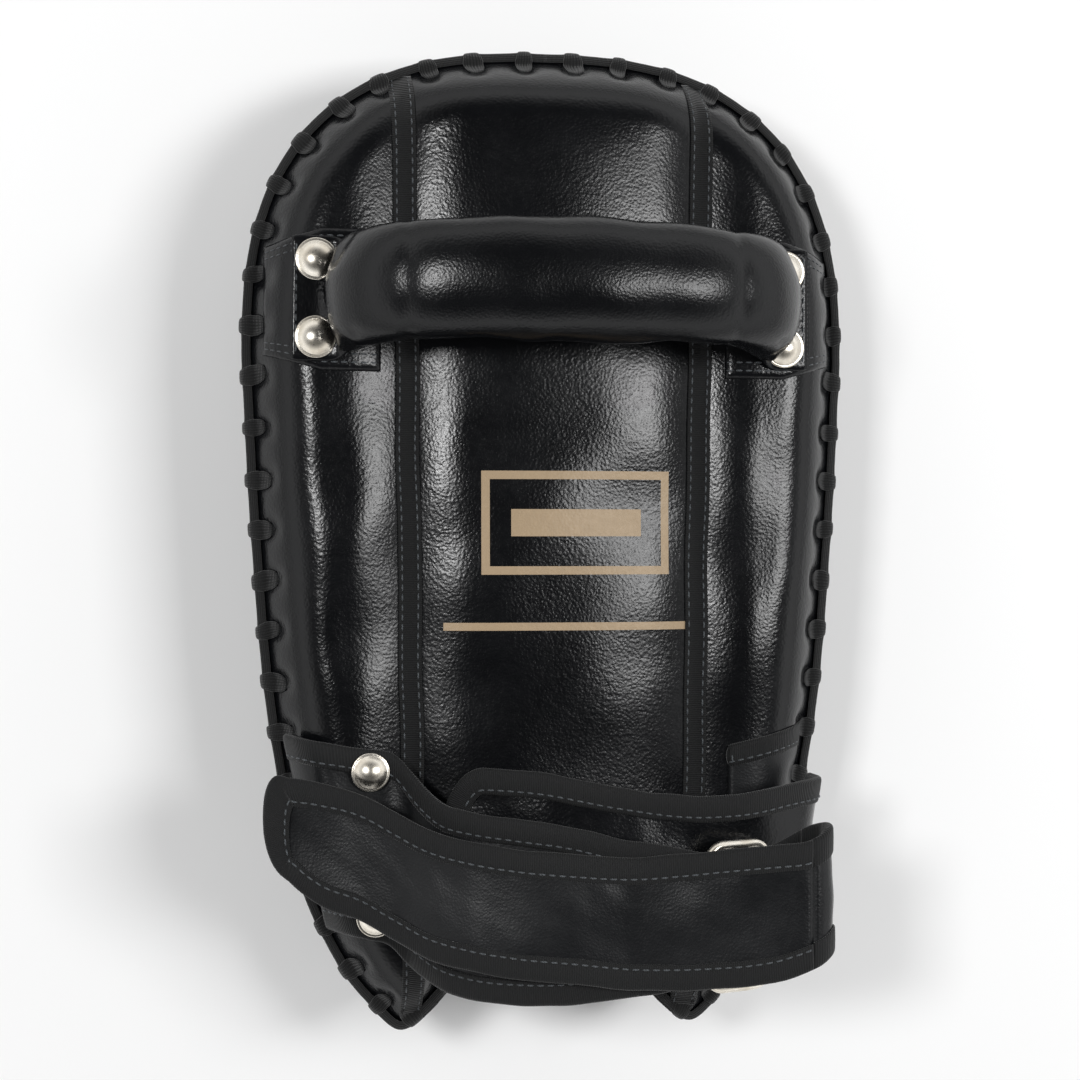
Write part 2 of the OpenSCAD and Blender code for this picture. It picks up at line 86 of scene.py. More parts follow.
def place_camera():
    """Looks down on the back from a little to the left, with the crown at the top."""
    target = Vector((-2.6 * MM, 0, rim * MM))
    yaw = math.radians(9.3)
    distance = 0.95
    back = Vector((-math.sin(yaw), 0, math.cos(yaw)))
    up = Vector((0, 1, 0))
    data = bpy.data.cameras.new("camera")
    data.lens = 76
    data.sensor_width = 36
    camera = bpy.data.objects.new("camera", data)
    scene.collection.objects.link(camera)
    camera.location = target + back * distance
    camera.rotation_mode = "QUATERNION"
    camera.rotation_quaternion = Matrix((up.cross(back), up, back)).transposed().to_quaternion()
    scene.camera = camera


def add_softbox(name, azimuth, elevation, distance, width, height, radiance):
    """A rectangular light that faces the object."""
    data = bpy.data.lights.new(name, "AREA")
    data.shape = "RECTANGLE"
    data.size = width
    data.size_y = height
    data.energy = radiance * math.pi * width * height
    lamp = bpy.data.objects.new(name, data)
    scene.collection.objects.link(lamp)
    a, e = math.radians(azimuth), math.radians(elevation)
    direction = Vector((math.cos(e) * math.cos(a), math.cos(e) * math.sin(a), math.sin(e)))
    lamp.location = Vector((0, 0, rim * MM)) + direction * distance
    lamp.rotation_euler = direction.to_track_quat("Z", "Y").to_euler()


def add_node(tree, kind, inputs=None, **settings):
    """Adds a shader node; an input is a value or another node's output."""
    made = tree.nodes.new(kind)
    for key, value in settings.items():
        setattr(made, key, value)
    for key, value in (inputs or {}).items():
        if isinstance(value, bpy.types.NodeSocket):
            tree.links.new(value, made.inputs[key])
        else:
            made.inputs[key].default_value = value
    return made


def light_world():
    """Brightest a little above the horizon, dim overhead, as between two white walls."""
    world = bpy.data.worlds.new("studio")
    scene.world = world
    world.use_nodes = True
    tree = world.node_tree
    tree.nodes.clear()
    coords = add_node(tree, "ShaderNodeTexCoord")
    split = add_node(tree, "ShaderNodeSeparateXYZ", {0: coords.outputs["Generated"]})
    ramp = add_node(tree, "ShaderNodeValToRGB", {0: split.outputs["Z"]})
    stops = [(0.0, 0.50), (0.36, 0.88), (0.56, 0.34), (0.76, 0.05), (1.0, 0.012)]
    ramp.color_ramp.elements[0].position = stops[0][0]
    ramp.color_ramp.elements[1].position = stops[-1][0]
    for position, _ in stops[1:-1]:
        ramp.color_ramp.elements.new(position)
    for element, (_, level) in zip(ramp.color_ramp.elements, stops):
        element.color = (level, level, level, 1)
    background = add_node(tree, "ShaderNodeBackground",
                          {"Color": ramp.outputs[0], "Strength": 1.55})
    add_node(tree, "ShaderNodeOutputWorld", {"Surface": background.outputs[0]})


place_camera()
light_world()
scene.view_settings.view_transform = "Standard"
add_softbox("softbox_left", 165, 62, 1.5, 0.22, 0.26, 48)
add_softbox("softbox_right", 10, 60, 1.5, 0.30, 0.62, 19)


# ---- Materials --------------------------------------------------------------------------------

level_sockets = {"sheen": "Sheen Weight", "sheen_roughness": "Sheen Roughness",
                 "specular": "Specular IOR Level"}


class Look:
    """A material built up from nodes round one Principled shader."""

    def __init__(self, name, colour, roughness, metallic=0.0):
        self.material = bpy.data.materials.new(name)
        self.material.use_nodes = True
        self.tree = self.material.node_tree
        self.shader = self.tree.nodes["Principled BSDF"]
        self.shader.inputs["Base Color"].default_value = (*colour, 1)
        self.shader.inputs["Roughness"].default_value = roughness
        self.shader.inputs["Metallic"].default_value = metallic
        self.coords = self.tree.nodes.new("ShaderNodeTexCoord")
        self.bump = None

    def node(self, kind, inputs=None, **settings):
        return add_node(self.tree, kind, inputs, **settings)

    def noise(self, scale, detail=3, roughness=0.55):
        return self.node("ShaderNodeTexNoise", {
            "Vector": self.coords.outputs["Object"], "Scale": scale, "Detail": detail,
            "Roughness": roughness}).outputs["Fac"]

    def cells(self, scale, feature="F1"):
        return self.node("ShaderNodeTexVoronoi", {
            "Vector": self.coords.outputs["Object"], "Scale": scale},
            feature=feature).outputs["Distance"]

    def waves(self, scale, direction, distortion, space="UV"):
        return self.node("ShaderNodeTexWave", {
            "Vector": self.coords.outputs[space], "Scale": scale, "Distortion": distortion},
            wave_type="BANDS", bands_direction=direction).outputs["Fac"]

    def span(self, value, low, high, from_low=0.0, from_high=1.0):
        """Maps a factor from one range to another."""
        return self.node("ShaderNodeMapRange", {
            "Value": value, "From Min": from_low, "From Max": from_high,
            "To Min": low, "To Max": high}).outputs["Result"]

    def maths(self, operation, a, b):
        return self.node("ShaderNodeMath", {0: a, 1: b}, operation=operation).outputs[0]

    def mix(self, factor, a, b):
        mixer = self.node("ShaderNodeMix", data_type="RGBA")
        self.tree.links.new(factor, mixer.inputs[0])
        for socket, value in ((mixer.inputs[6], a), (mixer.inputs[7], b)):
            if isinstance(value, bpy.types.NodeSocket):
                self.tree.links.new(value, socket)
            else:
                socket.default_value = (*value, 1)
        return mixer.outputs[2]

    def complete(self, colour, dullness, reliefs, **levels):
        """Links colour and roughness, adds bump layers and sets sheen and specular levels."""
        self.tree.links.new(colour, self.shader.inputs["Base Color"])
        self.tree.links.new(dullness, self.shader.inputs["Roughness"])
        for layer in reliefs:
            self.relief(*layer)
        for word, value in levels.items():
            self.shader.inputs[level_sockets[word]].default_value = value
        return self.material

    def relief(self, height, distance, strength):
        """Adds a bump layer; distance is its depth in metres."""
        layer = self.node("ShaderNodeBump", {
            "Height": height, "Distance": distance, "Strength": strength})
        if self.bump:
            self.tree.links.new(self.bump, layer.inputs["Normal"])
        self.bump = layer.outputs["Normal"]
        self.tree.links.new(self.bump, self.shader.inputs["Normal"])


def leather(name, dark, light, smooth, rough, grain=900, depth=0.00012, crease=0.00025,
            printed=None):
    """Pebbled, coated leather: grain, fine creases, and patches worn a little duller."""
    look = Look(name, dark, smooth)
    patches = look.noise(28, 4)
    scuffs = look.noise(340, 3)
    colour = look.mix(look.span(patches, 0, 1, 0.35, 0.7), dark, light)
    wear = look.maths("ADD", look.span(patches, 0, 0.6, 0.3, 0.75),
                      look.span(scuffs, 0, 0.4, 0.35, 0.8))
    dullness = look.span(wear, smooth, rough)
    if printed:
        mask = plain_print(look)
        ink = look.mix(look.span(scuffs, 0, 1, 0.3, 0.8), printed, tuple(c * 0.9 for c in printed))
        colour = look.mix(mask, colour, ink)
        dullness = look.maths("ADD", dullness, look.span(mask, 0.0, 0.2))
    return look.complete(colour, dullness, [
        (look.noise(60, 5, roughness=0.6), crease, 0.5),
        (look.cells(grain, "SMOOTH_F1"), depth, 0.7),
        (look.noise(grain * 2.2, 2), depth * 0.5, 0.5)], specular=0.30)


def plain_print(look):
    """A mask for a plain print: a frame round a bar, with a rule under it."""
    split = look.node("ShaderNodeSeparateXYZ", {0: look.coords.outputs["Object"]})

    def block(x, y, half_x, half_y):
        sides = [look.node("ShaderNodeMath", {0: split.outputs[axis], 1: middle * MM, 2: half * MM},
                           operation="COMPARE").outputs[0]
                 for axis, middle, half in (("X", x, half_x), ("Y", y, half_y))]
        return look.maths("MULTIPLY", *sides)

    frame_mask = look.maths("SUBTRACT", block(8, 7, 39, 21), block(8, 7, 35.6, 17.6))
    mask = look.maths("ADD", frame_mask, block(8, 7, 27, 5.5))
    return look.maths("ADD", mask, block(5, -35, 51, 1.6))


def grosgrain(name, dark, light):
    """Ribbed tape: ribs run across it, a set distance apart along it."""
    look = Look(name, dark, 0.75)
    rib_pitch = 0.9
    ribs = look.waves(20 / rib_pitch / 2 / math.pi * 1000 / 10, "X", 0.4)
    fibres = look.noise(1600, 3)
    # Painted shade: the colour is darker in the grooves between the ribs and lighter on their crests,
    # and the fibres add random tone.
    return look.complete(
        look.mix(look.maths("MULTIPLY", ribs, look.span(fibres, 0.35, 1.2)), dark, light),
        look.span(fibres, 0.6, 0.9), [(ribs, 0.00022, 0.8), (fibres, 0.0001, 0.5)],
        sheen=0.15, sheen_roughness=0.4, specular=0.3)


def woven(name, dark, light, across, along):
    """Plain weave from two crossed sets of yarns, scales in turns over a metre."""
    look = Look(name, dark, 0.8)
    weft = look.waves(across, "X", 0.6)
    warp = look.waves(along, "Y", 0.6)
    weave = look.maths("MULTIPLY", weft, warp)
    fibres = look.noise(2200, 3)
    # Painted shade: the colour is darker where the weave dips between yarn crossings and lighter on
    # the crossings, and the fibres add random tone.
    return look.complete(
        look.mix(look.maths("MULTIPLY", weave, look.span(fibres, 0.3, 1.3)), dark, light),
        look.span(fibres, 0.65, 0.92), [(weave, 0.0003, 0.9), (fibres, 0.0001, 0.6)],
        sheen=0.2, specular=0.3)


def thread(name, dark, light):
    """Twisted sewing thread."""
    look = Look(name, dark, 0.55)
    twist = look.waves(500.0, "DIAGONAL", 1.0, space="Object")
    # Painted shade: the colour is darker in the grooves of the twist, following the same waves as the
    # bump.
    return look.complete(look.mix(twist, dark, light), look.span(look.noise(900), 0.4, 0.7),
                         [(twist, 0.0001, 0.7)], sheen=0.2)


def metal(name, dark, light, smooth, rough):
    """Plated metal with fine scratches and faint dulling."""
    look = Look(name, light, smooth, 1.0)
    haze = look.noise(120, 4)
    scratches = look.noise(1500, 2)
    return look.complete(
        look.mix(look.span(haze, 0, 1, 0.3, 0.7), light, dark),
        look.span(look.maths("MULTIPLY", haze, scratches), smooth, rough, 0.1, 0.5),
        [(scratches, 0.00002, 0.3), (look.noise(260, 2), 0.00006, 0.3)])


def foam(name, dark, light, cell):
    """Open or closed-cell foam."""
    look = Look(name, light, 0.9)
    pores = look.cells(cell)
    # Painted shade: the colour is darker in the pores, where the relief dips, following the same cells
    # as the bump.
    return look.complete(
        look.mix(look.span(pores, 0, 1, 0.0, 0.7), dark, light),
        look.span(look.noise(300), 0.8, 1.0),
        [(pores, 0.0004, 0.8), (look.noise(60, 4), 0.001, 0.4)])


def pile(name, dark, light):
    """Hook-and-loop pile."""
    look = Look(name, dark, 0.95)
    tufts = look.cells(1500)
    fluff = look.noise(900, 4, roughness=0.7)
    # Painted shade: the colour is darker low down between the tufts and lighter on their tops,
    # following the same relief as the bump.
    return look.complete(
        look.mix(look.maths("MULTIPLY", tufts, fluff), dark, light),
        look.span(fluff, 0.8, 1.0), [(tufts, 0.0006, 0.9), (fluff, 0.0005, 0.7)], sheen=0.5)


coated = ((0.0026, 0.0028, 0.0034), (0.0042, 0.0045, 0.0054), 0.17, 0.29)
gloss = leather("gloss_leather", *coated)
printed_gloss = leather("printed_leather", *coated, printed=(0.36, 0.265, 0.165))
grip_gloss = leather(
    "grip_leather", (0.0026, 0.0028, 0.0034), (0.0040, 0.0043, 0.0051), 0.20, 0.31, grain=1050)
satin = leather("satin_leather", (0.0048, 0.0052, 0.0060), (0.0080, 0.0085, 0.0094), 0.30, 0.42,
                grain=1150, depth=0.00010)
tape_cloth = grosgrain("grosgrain", (0.0022, 0.0024, 0.0026), (0.0075, 0.0079, 0.0084))
lace_cloth = woven("woven_lace", (0.0028, 0.0029, 0.0031), (0.0085, 0.0088, 0.0092), 560, 420)
webbing_cloth = woven("webbing", (0.010, 0.010, 0.011), (0.040, 0.041, 0.043), 320, 240)
sewing = thread("thread", (0.016, 0.021, 0.026), (0.060, 0.068, 0.075))
nickel = metal("nickel", (0.66, 0.60, 0.50), (0.88, 0.84, 0.76), 0.24, 0.36)
burr_metal = metal("burr_metal", (0.50, 0.49, 0.46), (0.70, 0.69, 0.65), 0.30, 0.50)
dense_foam_look = foam("dense_foam", (0.16, 0.16, 0.18), (0.34, 0.34, 0.36), 700)
soft_foam_look = foam("soft_foam", (0.55, 0.52, 0.42), (0.82, 0.79, 0.70), 420)
loop_pile = pile("hook_and_loop", (0.010, 0.010, 0.011), (0.050, 0.051, 0.053))


# ---- Curves and fields ------------------------------------------------------------------------

def full_turn(count):
    """Angles evenly spaced round a circle."""
    return np.linspace(0, 2 * math.pi, count, endpoint=False)


def unit(vectors):
    """Vectors brought to length one along the last axis."""
    return vectors / np.linalg.norm(vectors, axis=-1, keepdims=True)


def run_along(points):
    """Distance along a line at each of its points."""
    return np.concatenate([[0], np.cumsum(np.linalg.norm(np.diff(points, axis=0), axis=1))])


def lean_of(line):
    """Direction of a line of points, seen along Y, as (x, z) rows."""
    return unit(np.gradient(line[:, [0, 2]], axis=0))


def looked_up(where, run, rows):
    """Rows interpolated at distances along a line."""
    return np.column_stack([np.interp(where, run, column) for column in rows.T])


def resample(points, spacing, closed=False):
    """Evenly spaced rows along a line of points; columns past the third ride along."""
    points = np.vstack([points, points[:1]]) if closed else points
    run = run_along(points[:, :3])
    count = max(2, int(round(run[-1] / spacing)) + 1)
    where = np.linspace(0, run[-1], count)
    rows = looked_up(where, run, points)
    return rows[:-1] if closed else rows


def smooth_line(stations, spacing):
    """A smooth curve through given stations, evenly spaced."""
    stations = np.asarray(stations, float)
    chord = np.linalg.norm(np.diff(stations[:, :3], axis=0), axis=1)[:, None]
    slope = np.diff(stations, axis=0) / chord
    inner = (slope[:-1] * chord[1:] + slope[1:] * chord[:-1]) / (chord[1:] + chord[:-1])
    lean = np.vstack([slope[:1], inner, slope[-1:]])
    pieces = []
    for i, length in enumerate(chord[:, 0]):
        t = np.linspace(0, 1, int(length / spacing * 4) + 4, endpoint=False)[:, None]
        pieces.append(
            (2 * t**3 - 3 * t**2 + 1) * stations[i] + (t**3 - 2 * t**2 + t) * length * lean[i]
            + (3 * t**2 - 2 * t**3) * stations[i + 1] + (t**3 - t**2) * length * lean[i + 1])
    return resample(np.vstack(pieces + [stations[-1:]]), spacing)


def powered(value, power):
    """A sine or cosine squared off, for rounded rectangles."""
    return np.sign(value) * np.abs(value) ** (2 / power)


def wobble(a, b, seed, wavelength):
    """Smooth, repeatable unevenness between about -1 and 1 over a plane."""
    rng = np.random.default_rng(seed)
    total = np.zeros(np.broadcast(a, b).shape)
    for _ in range(7):
        angle, phase = rng.uniform(0, 2 * math.pi, 2)
        k = 2 * math.pi / (wavelength * rng.uniform(0.7, 1.6))
        total += np.sin(k * (a * math.cos(angle) + b * math.sin(angle)) + phase)
    return total / 3.2


def ease(value):
    """0 to 1 with level ends."""
    value = np.clip(value, 0, 1)
    return value * value * (3 - 2 * value)


# ---- Outline of the rim -----------------------------------------------------------------------

side_points = [
    (1.00, 0.37), (0.968, 0.00), (0.90, -0.42), (0.765, -0.77), (0.60, -0.935),
    (0.475, -0.998), (0.405, -0.967), (0.315, -0.912), (0, -0.88)
]
crown_power = 2.6
crown_base = side_points[0][1]


def make_rim():
    """The rim line, clockwise from the crown, a point about every millimetre."""
    angle = np.radians(np.linspace(90, 0, 60, endpoint=False))
    crown = np.column_stack([
        powered(np.cos(angle), crown_power),
        crown_base + (1 - crown_base) * powered(np.sin(angle), crown_power)])
    size = np.array([half_width, half_length])
    padded = np.column_stack([np.array(side_points) * size, np.zeros(len(side_points))])
    side = smooth_line(padded, 2.0)[:, :2]
    right = np.vstack([crown * size, side])
    left = right[-2:0:-1] * (-1, 1)
    line = np.vstack([right, left])
    return resample(np.column_stack([line, np.zeros(len(line))]), 1.0, closed=True)[:, :2]


rim_line = make_rim()
rim_steps = np.linalg.norm(np.roll(rim_line, -1, 0) - rim_line, axis=1)
rim_run = np.concatenate([[0], np.cumsum(rim_steps)])
rim_length = rim_run[-1]
hole_pitch = rim_length / round(rim_length / 20.6)
hole_start = hole_pitch * 0.5


def rim_point(run, inset=0.0):
    """Point on the rim at a distance along it, moved in by inset, with the inward normal."""
    run = np.mod(run, rim_length)
    closed = np.vstack([rim_line, rim_line[:1]])
    smooth = np.roll(rim_line, -3, 0) - np.roll(rim_line, 3, 0)
    smooth = np.vstack([smooth, smooth[:1]])
    point = looked_up(run, rim_run, closed)
    tangent = unit(looked_up(run, rim_run, smooth))
    normal = np.column_stack([tangent[:, 1], -tangent[:, 0]])
    return point + normal * np.reshape(inset, (-1, 1)), normal


def rim_x(y):
    """Half width of the pad at a y, outside the lobes."""
    outer = rim_line[:rim_line[:len(rim_line) // 2, 1].argmin() + 1]
    return np.interp(y, outer[::-1, 1], outer[::-1, 0])


def rim_place(x, y):
    """Distance in from the rim and distance along it, for arrays of points."""
    shape = np.shape(x)
    points = np.column_stack([np.ravel(x), np.ravel(y)])
    inward = np.empty(len(points))
    along = np.empty(len(points))
    for start in range(0, len(points), 4000):
        block = points[start:start + 4000]
        gaps = ((block[:, None, :] - rim_line[None]) ** 2).sum(2)
        nearest = gaps.argmin(1)
        inward[start:start + 4000] = np.sqrt(gaps[np.arange(len(block)), nearest])
        along[start:start + 4000] = rim_run[nearest]
    return inward.reshape(shape), along.reshape(shape)


def hole_pull(along, reach=4.4):
    """1 at a lace hole, falling to 0 between two holes."""
    offset = np.mod(along - hole_start + hole_pitch / 2, hole_pitch) - hole_pitch / 2
    return np.exp(-(offset / reach) ** 2)


def seam_x(y):
    """Distance of the seams from the centre line."""
    return 57 + 5 * (y + half_length) / (2 * half_length)


# ---- Height of the padded back ----------------------------------------------------------------

margin = 3.6            # flat leather under the lace
pulled = 0.72           # how far a lace hole holds the leather down
shoulder = 27.0         # how far in the shoulder reaches full height
valley_share = 0.22     # depth of a seam's valley as a share of the rise
valley_reach = 25.0
centre_puff = 2.6


def back_height(x, y):
    """Height of the leather over the pad's back."""
    inward, along = rim_place(x, y)
    pull = hole_pull(along)
    t = np.clip((inward - margin) / shoulder, 0, 1)
    flat = rim + 1.6 - 0.5 * np.clip(inward / margin, 0, 1)
    rise = (back_top - rim - 1.2) * (1 - (1 - t) ** 2.6)
    rise = rise * (1 - pulled * pull * (1 - ease((inward - 4) / 8.5)))
    offset = np.abs(np.abs(x) - seam_x(y))
    u = np.clip(offset / valley_reach, 0, 1)
    sunk = valley_share * (1 - u) ** 2.0
    middle = np.abs(x) < seam_x(y)
    puff = centre_puff * ease(t) * np.where(middle, 1 - (x / 62) ** 2, 0.35 * ease(u))
    folds = 0.15 * wobble(along * 1.0, inward * 0.35, 11, 16) * np.exp(-inward / 16)
    uneven = 0.5 * wobble(x, y, 5, 80) + 0.15 * wobble(x, y, 6, 36)
    turned = 1.6 * np.exp(-(offset / 2.2) ** 2)
    return (flat + rise * (1 - sunk) + puff + folds * t + uneven * ease(t)
            - turned * ease(t * 2))


# ---- Meshes -----------------------------------------------------------------------------------

def grid_faces(rows, columns, around=False, along=False):
    """Quads over a grid; around closes its columns and along its rows."""
    i = np.arange(rows if along else rows - 1)
    j = np.arange(columns if around else columns - 1)
    i, j = [a.ravel() for a in np.meshgrid(i, j, indexing="ij")]
    k, l = (i + 1) % rows, (j + 1) % columns
    return np.column_stack([
        i * columns + j, i * columns + l, k * columns + l, k * columns + j])


def turn_out(mesh):
    """Closes a mesh's open ends and turns its faces outwards."""
    shell = bmesh.new()
    shell.from_mesh(mesh)
    bmesh.ops.holes_fill(shell, edges=shell.edges)
    if shell.calc_volume(signed=True) < 0:
        bmesh.ops.reverse_faces(shell, faces=shell.faces)
    shell.to_mesh(mesh)
    shell.free()


def make(name, points, faces, material, uvs=None, flip=False):
    """A smooth-shaded mesh object from points in millimetres."""
    points = np.asarray(points, float).reshape(-1, 3)
    faces = [tuple(int(v) for v in (f[::-1] if flip else f)) for f in faces]
    mesh = bpy.data.meshes.new(name)
    mesh.from_pydata((points * MM).tolist(), [], faces)
    if uvs is not None:
        layer = mesh.uv_layers.new(name="along_across")
        picks = np.empty(len(mesh.loops), int)
        mesh.loops.foreach_get("vertex_index", picks)
        layer.data.foreach_set("uv", (np.asarray(uvs, float) * MM)[picks].ravel())
    mesh.validate()
    if len(faces) > 1:
        turn_out(mesh)
    mesh.shade_smooth()
    mesh.materials.append(material)
    piece = bpy.data.objects.new(name, mesh)
    scene.collection.objects.link(piece)
    return piece


def fasten(piece, body, node=None):
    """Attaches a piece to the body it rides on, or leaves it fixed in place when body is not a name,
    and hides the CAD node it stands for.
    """
    if isinstance(body, str):
        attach(piece, body)
    else:
        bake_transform(piece)
    if node:
        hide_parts(node)


def sheet_points(top, bottom):
    """A closed solid between two grids of points: its points and faces."""
    rows, columns = top.shape[:2]
    count = rows * columns
    upper = grid_faces(rows, columns)
    lower = upper[:, ::-1] + count
    rim_ids = np.concatenate([
        np.arange(columns), columns * np.arange(1, rows) + columns - 1,
        count - 2 - np.arange(columns - 1), columns * np.arange(rows - 2, 0, -1)])
    after = np.roll(rim_ids, -1)
    walls = np.column_stack([after, rim_ids, rim_ids + count, after + count])
    return np.vstack([top.reshape(-1, 3), bottom.reshape(-1, 3)]), np.vstack([upper, lower, walls])


def solid_sheet(name, top, bottom, material, uv=None):
    """A mesh object made from the solid between two grids."""
    points, faces = sheet_points(top, bottom)
    uvs = None if uv is None else np.vstack([uv.reshape(-1, 2), uv.reshape(-1, 2)])
    return make(name, points, faces, material, uvs)


def tube_uv(run, turn):
    """UVs of a capped tube: distance along it, and round it; the cap centres get none."""
    uv = np.column_stack([np.repeat(run, len(turn)), np.tile(turn, len(run))])
    return np.vstack([uv, [[0, 0], [0, 0]]])


def tube_points(rings):
    """A closed tube from rings of points, its ends closed by fans."""
    count, sides = rings.shape[:2]
    body = grid_faces(count, sides, around=True)
    points = np.vstack([rings.reshape(-1, 3), rings[0].mean(0), rings[-1].mean(0)])
    first, last = count * sides, count * sides + 1
    base = (count - 1) * sides
    caps = [(j, first, (j + 1) % sides) for j in range(sides)]
    caps += [(base + (j + 1) % sides, last, base + j) for j in range(sides)]
    return points, [tuple(f) for f in body] + caps


def joined(parts):
    """Several (points, faces) pairs as one."""
    points, faces, start = [], [], 0
    for part_points, part_faces in parts:
        points.append(np.asarray(part_points).reshape(-1, 3))
        faces += [tuple(int(v) + start for v in f) for f in part_faces]
        start += len(points[-1])
    return np.vstack(points), faces


# ---- Cloth ------------------------------------------------------------------------------------

cloth_frames = 20
cloth_stiffness = {
    "quality": 5, "mass": 0.3, "tension_stiffness": 25, "compression_stiffness": 25,
    "shear_stiffness": 10, "bending_stiffness": 1.5,
}


def simulate(points, faces, pinned, pressure, growth, cap):
    """Blows a sheet or a closed skin out as cloth and returns how far its points moved."""
    shape = points.shape
    flat = points.reshape(-1, 3)
    mesh = bpy.data.meshes.new("cloth")
    mesh.from_pydata((flat * MM).tolist(), [], [tuple(int(v) for v in f) for f in faces])
    piece = bpy.data.objects.new("cloth", mesh)
    scene.collection.objects.link(piece)
    group = piece.vertex_groups.new(name="pin")
    for index, weight in enumerate(np.ravel(pinned)):
        if weight > 0:
            group.add([index], float(weight), "REPLACE")
    cloth = piece.modifiers.new("cloth", "CLOTH")
    settings = cloth.settings
    for key, value in cloth_stiffness.items():
        setattr(settings, key, value)
    settings.use_pressure = True
    settings.uniform_pressure_force = pressure
    settings.vertex_group_mass = "pin"
    settings.shrink_min = -growth
    settings.effector_weights.gravity = 0
    cloth.collision_settings.use_collision = False
    for number in range(1, cloth_frames + 1):
        scene.frame_set(number)
    solved = piece.evaluated_get(bpy.context.evaluated_depsgraph_get())
    moved = np.empty(len(flat) * 3)
    solved.data.vertices.foreach_get("co", moved)
    shift = moved.reshape(-1, 3) / MM - flat
    bpy.data.objects.remove(piece)
    bpy.data.meshes.remove(mesh)
    scene.frame_set(1)
    length = np.linalg.norm(shift, axis=1)[:, None]
    shift *= np.tanh(length / cap) * cap / np.maximum(length, 1e-6)
    return shift.reshape(shape)


def averaged(grid, passes, own=0):
    """A grid averaged with its neighbours, each cell itself counting own times."""
    for _ in range(passes):
        wide = np.pad(grid, ((1, 1), (1, 1)) + ((0, 0),) * (grid.ndim - 2), mode="edge")
        around = wide[:-2, 1:-1] + wide[2:, 1:-1] + wide[1:-1, :-2] + wide[1:-1, 2:]
        grid = (around + own * grid) / (4 + own)
    return grid


def upsample(coarse, rows, columns):
    """A grid of vectors interpolated to a finer grid."""
    r = np.linspace(0, 1, coarse.shape[0])
    c = np.linspace(0, 1, coarse.shape[1])
    wide = np.stack([np.stack([np.interp(np.linspace(0, 1, columns), c, row)
                               for row in coarse[..., k]]) for k in range(3)], -1)
    return np.stack([np.stack([np.interp(np.linspace(0, 1, rows), r, column)
                               for column in wide[..., k].T], 1) for k in range(3)], -1)


# ---- Back panels ------------------------------------------------------------------------------

edge_inset = 0.8        # from the rim to the panels' outer edge
panel_skin = 1.6        # thickness of the panels' leather


def seam_crossings():
    """Distances along the rim where the right seam meets it, at the crown and at the lobe."""
    side = rim_line[:, 0] - seam_x(rim_line[:, 1])
    right = np.nonzero(side[:-1] * side[1:] < 0)[0]
    return rim_run[right[0]], rim_run[right[-1]]


seam_top_run, seam_bottom_run = seam_crossings()


def side_plan(side, rows, columns):
    """Plan points of a side panel: rows run down the pad, columns from the seam to the rim."""
    v = np.linspace(0, 1, rows)
    rim_side, _ = rim_point(seam_top_run + v * (seam_bottom_run - seam_top_run), edge_inset)
    y = rim_side[0, 1] + v * (rim_side[-1, 1] - rim_side[0, 1])
    seam_side = np.column_stack([seam_x(y) + 0.3, y])
    u = np.linspace(0, 1, columns)[None, :, None]
    plan = seam_side[:, None] * (1 - u) + rim_side[:, None] * u
    plan[..., 0] *= side
    return plan if side > 0 else plan[:, ::-1]


def centre_plan(rows, columns):
    """Plan points of the centre panel: rows run down the pad, columns from left to right."""
    u = np.linspace(-1, 1, columns)
    upper = rim_line[rim_line[:, 1] > 150]
    lower = rim_line[(rim_line[:, 1] < -150) & (np.abs(rim_line[:, 0]) < 62)]
    upper = upper[np.argsort(upper[:, 0])]
    lower = lower[np.argsort(lower[:, 0])]
    x = u * seam_x(0)
    top = np.interp(x, upper[:, 0], upper[:, 1]) - edge_inset
    bottom = np.interp(x, lower[:, 0], lower[:, 1]) + edge_inset
    v = np.linspace(0, 1, rows)[:, None]
    y = top * (1 - v) + bottom * v
    return np.stack([u * (seam_x(y) - 0.3), y], -1)


def lifted(plan):
    """Plan points raised to the height of the back."""
    height = back_height(plan[..., 0], plan[..., 1])
    return np.concatenate([plan, height[..., None]], -1)


def panel_pins(plan):
    """Where a panel is held: at the lace, at the seams and under what is riveted to it."""
    x, y = plan[..., 0], plan[..., 1]
    inward, _ = rim_place(x, y)
    offset = np.abs(np.abs(x) - seam_x(y))
    held = np.maximum(1 - ease((inward - 7) / 5), 1 - ease((offset - 2) / 4))
    under_tab = (np.abs(x) > 68) & (np.abs(y - grip_y) < 31)
    under_strap = (x < -62) & (np.abs(y + 123) < 42)
    return np.where(held > 0.5, 1.0, np.where(under_tab | under_strap, 0.9, 0.0))


def panel(word, plan_of, fine, coarse, material=gloss):
    """A padded leather panel with its foam under it; fine and coarse are rows and columns."""
    foam_node = "back_foam_" + word
    rough_plan = plan_of(*coarse)
    rough_grid = lifted(rough_plan)
    pins = panel_pins(rough_plan)
    shift = simulate(rough_grid, grid_faces(*coarse)[:, ::-1], pins,
                     pressure=3.0, growth=0.006, cap=2.2)
    shift = averaged(shift, 14) * (1 - pins)[..., None]
    top = lifted(plan_of(*fine)) + upsample(averaged(shift, 2), *fine)
    bottom = top - (0, 0, panel_skin)
    piece = solid_sheet("panel_" + word, top[::-1], bottom[::-1], material)
    fasten(piece, "pad", "back_panel_" + word)
    inset = top[4:-4:2, 3:-3:2].copy()
    inset[..., 2] = np.maximum(inset[..., 2] - panel_skin - 0.8, rim + 0.15)
    base = inset.copy()
    base[..., 2] = rim + 0.05
    pad = solid_sheet(foam_node, inset[::-1], base[::-1], soft_foam_look)
    fasten(pad, "pad", foam_node)
    return top


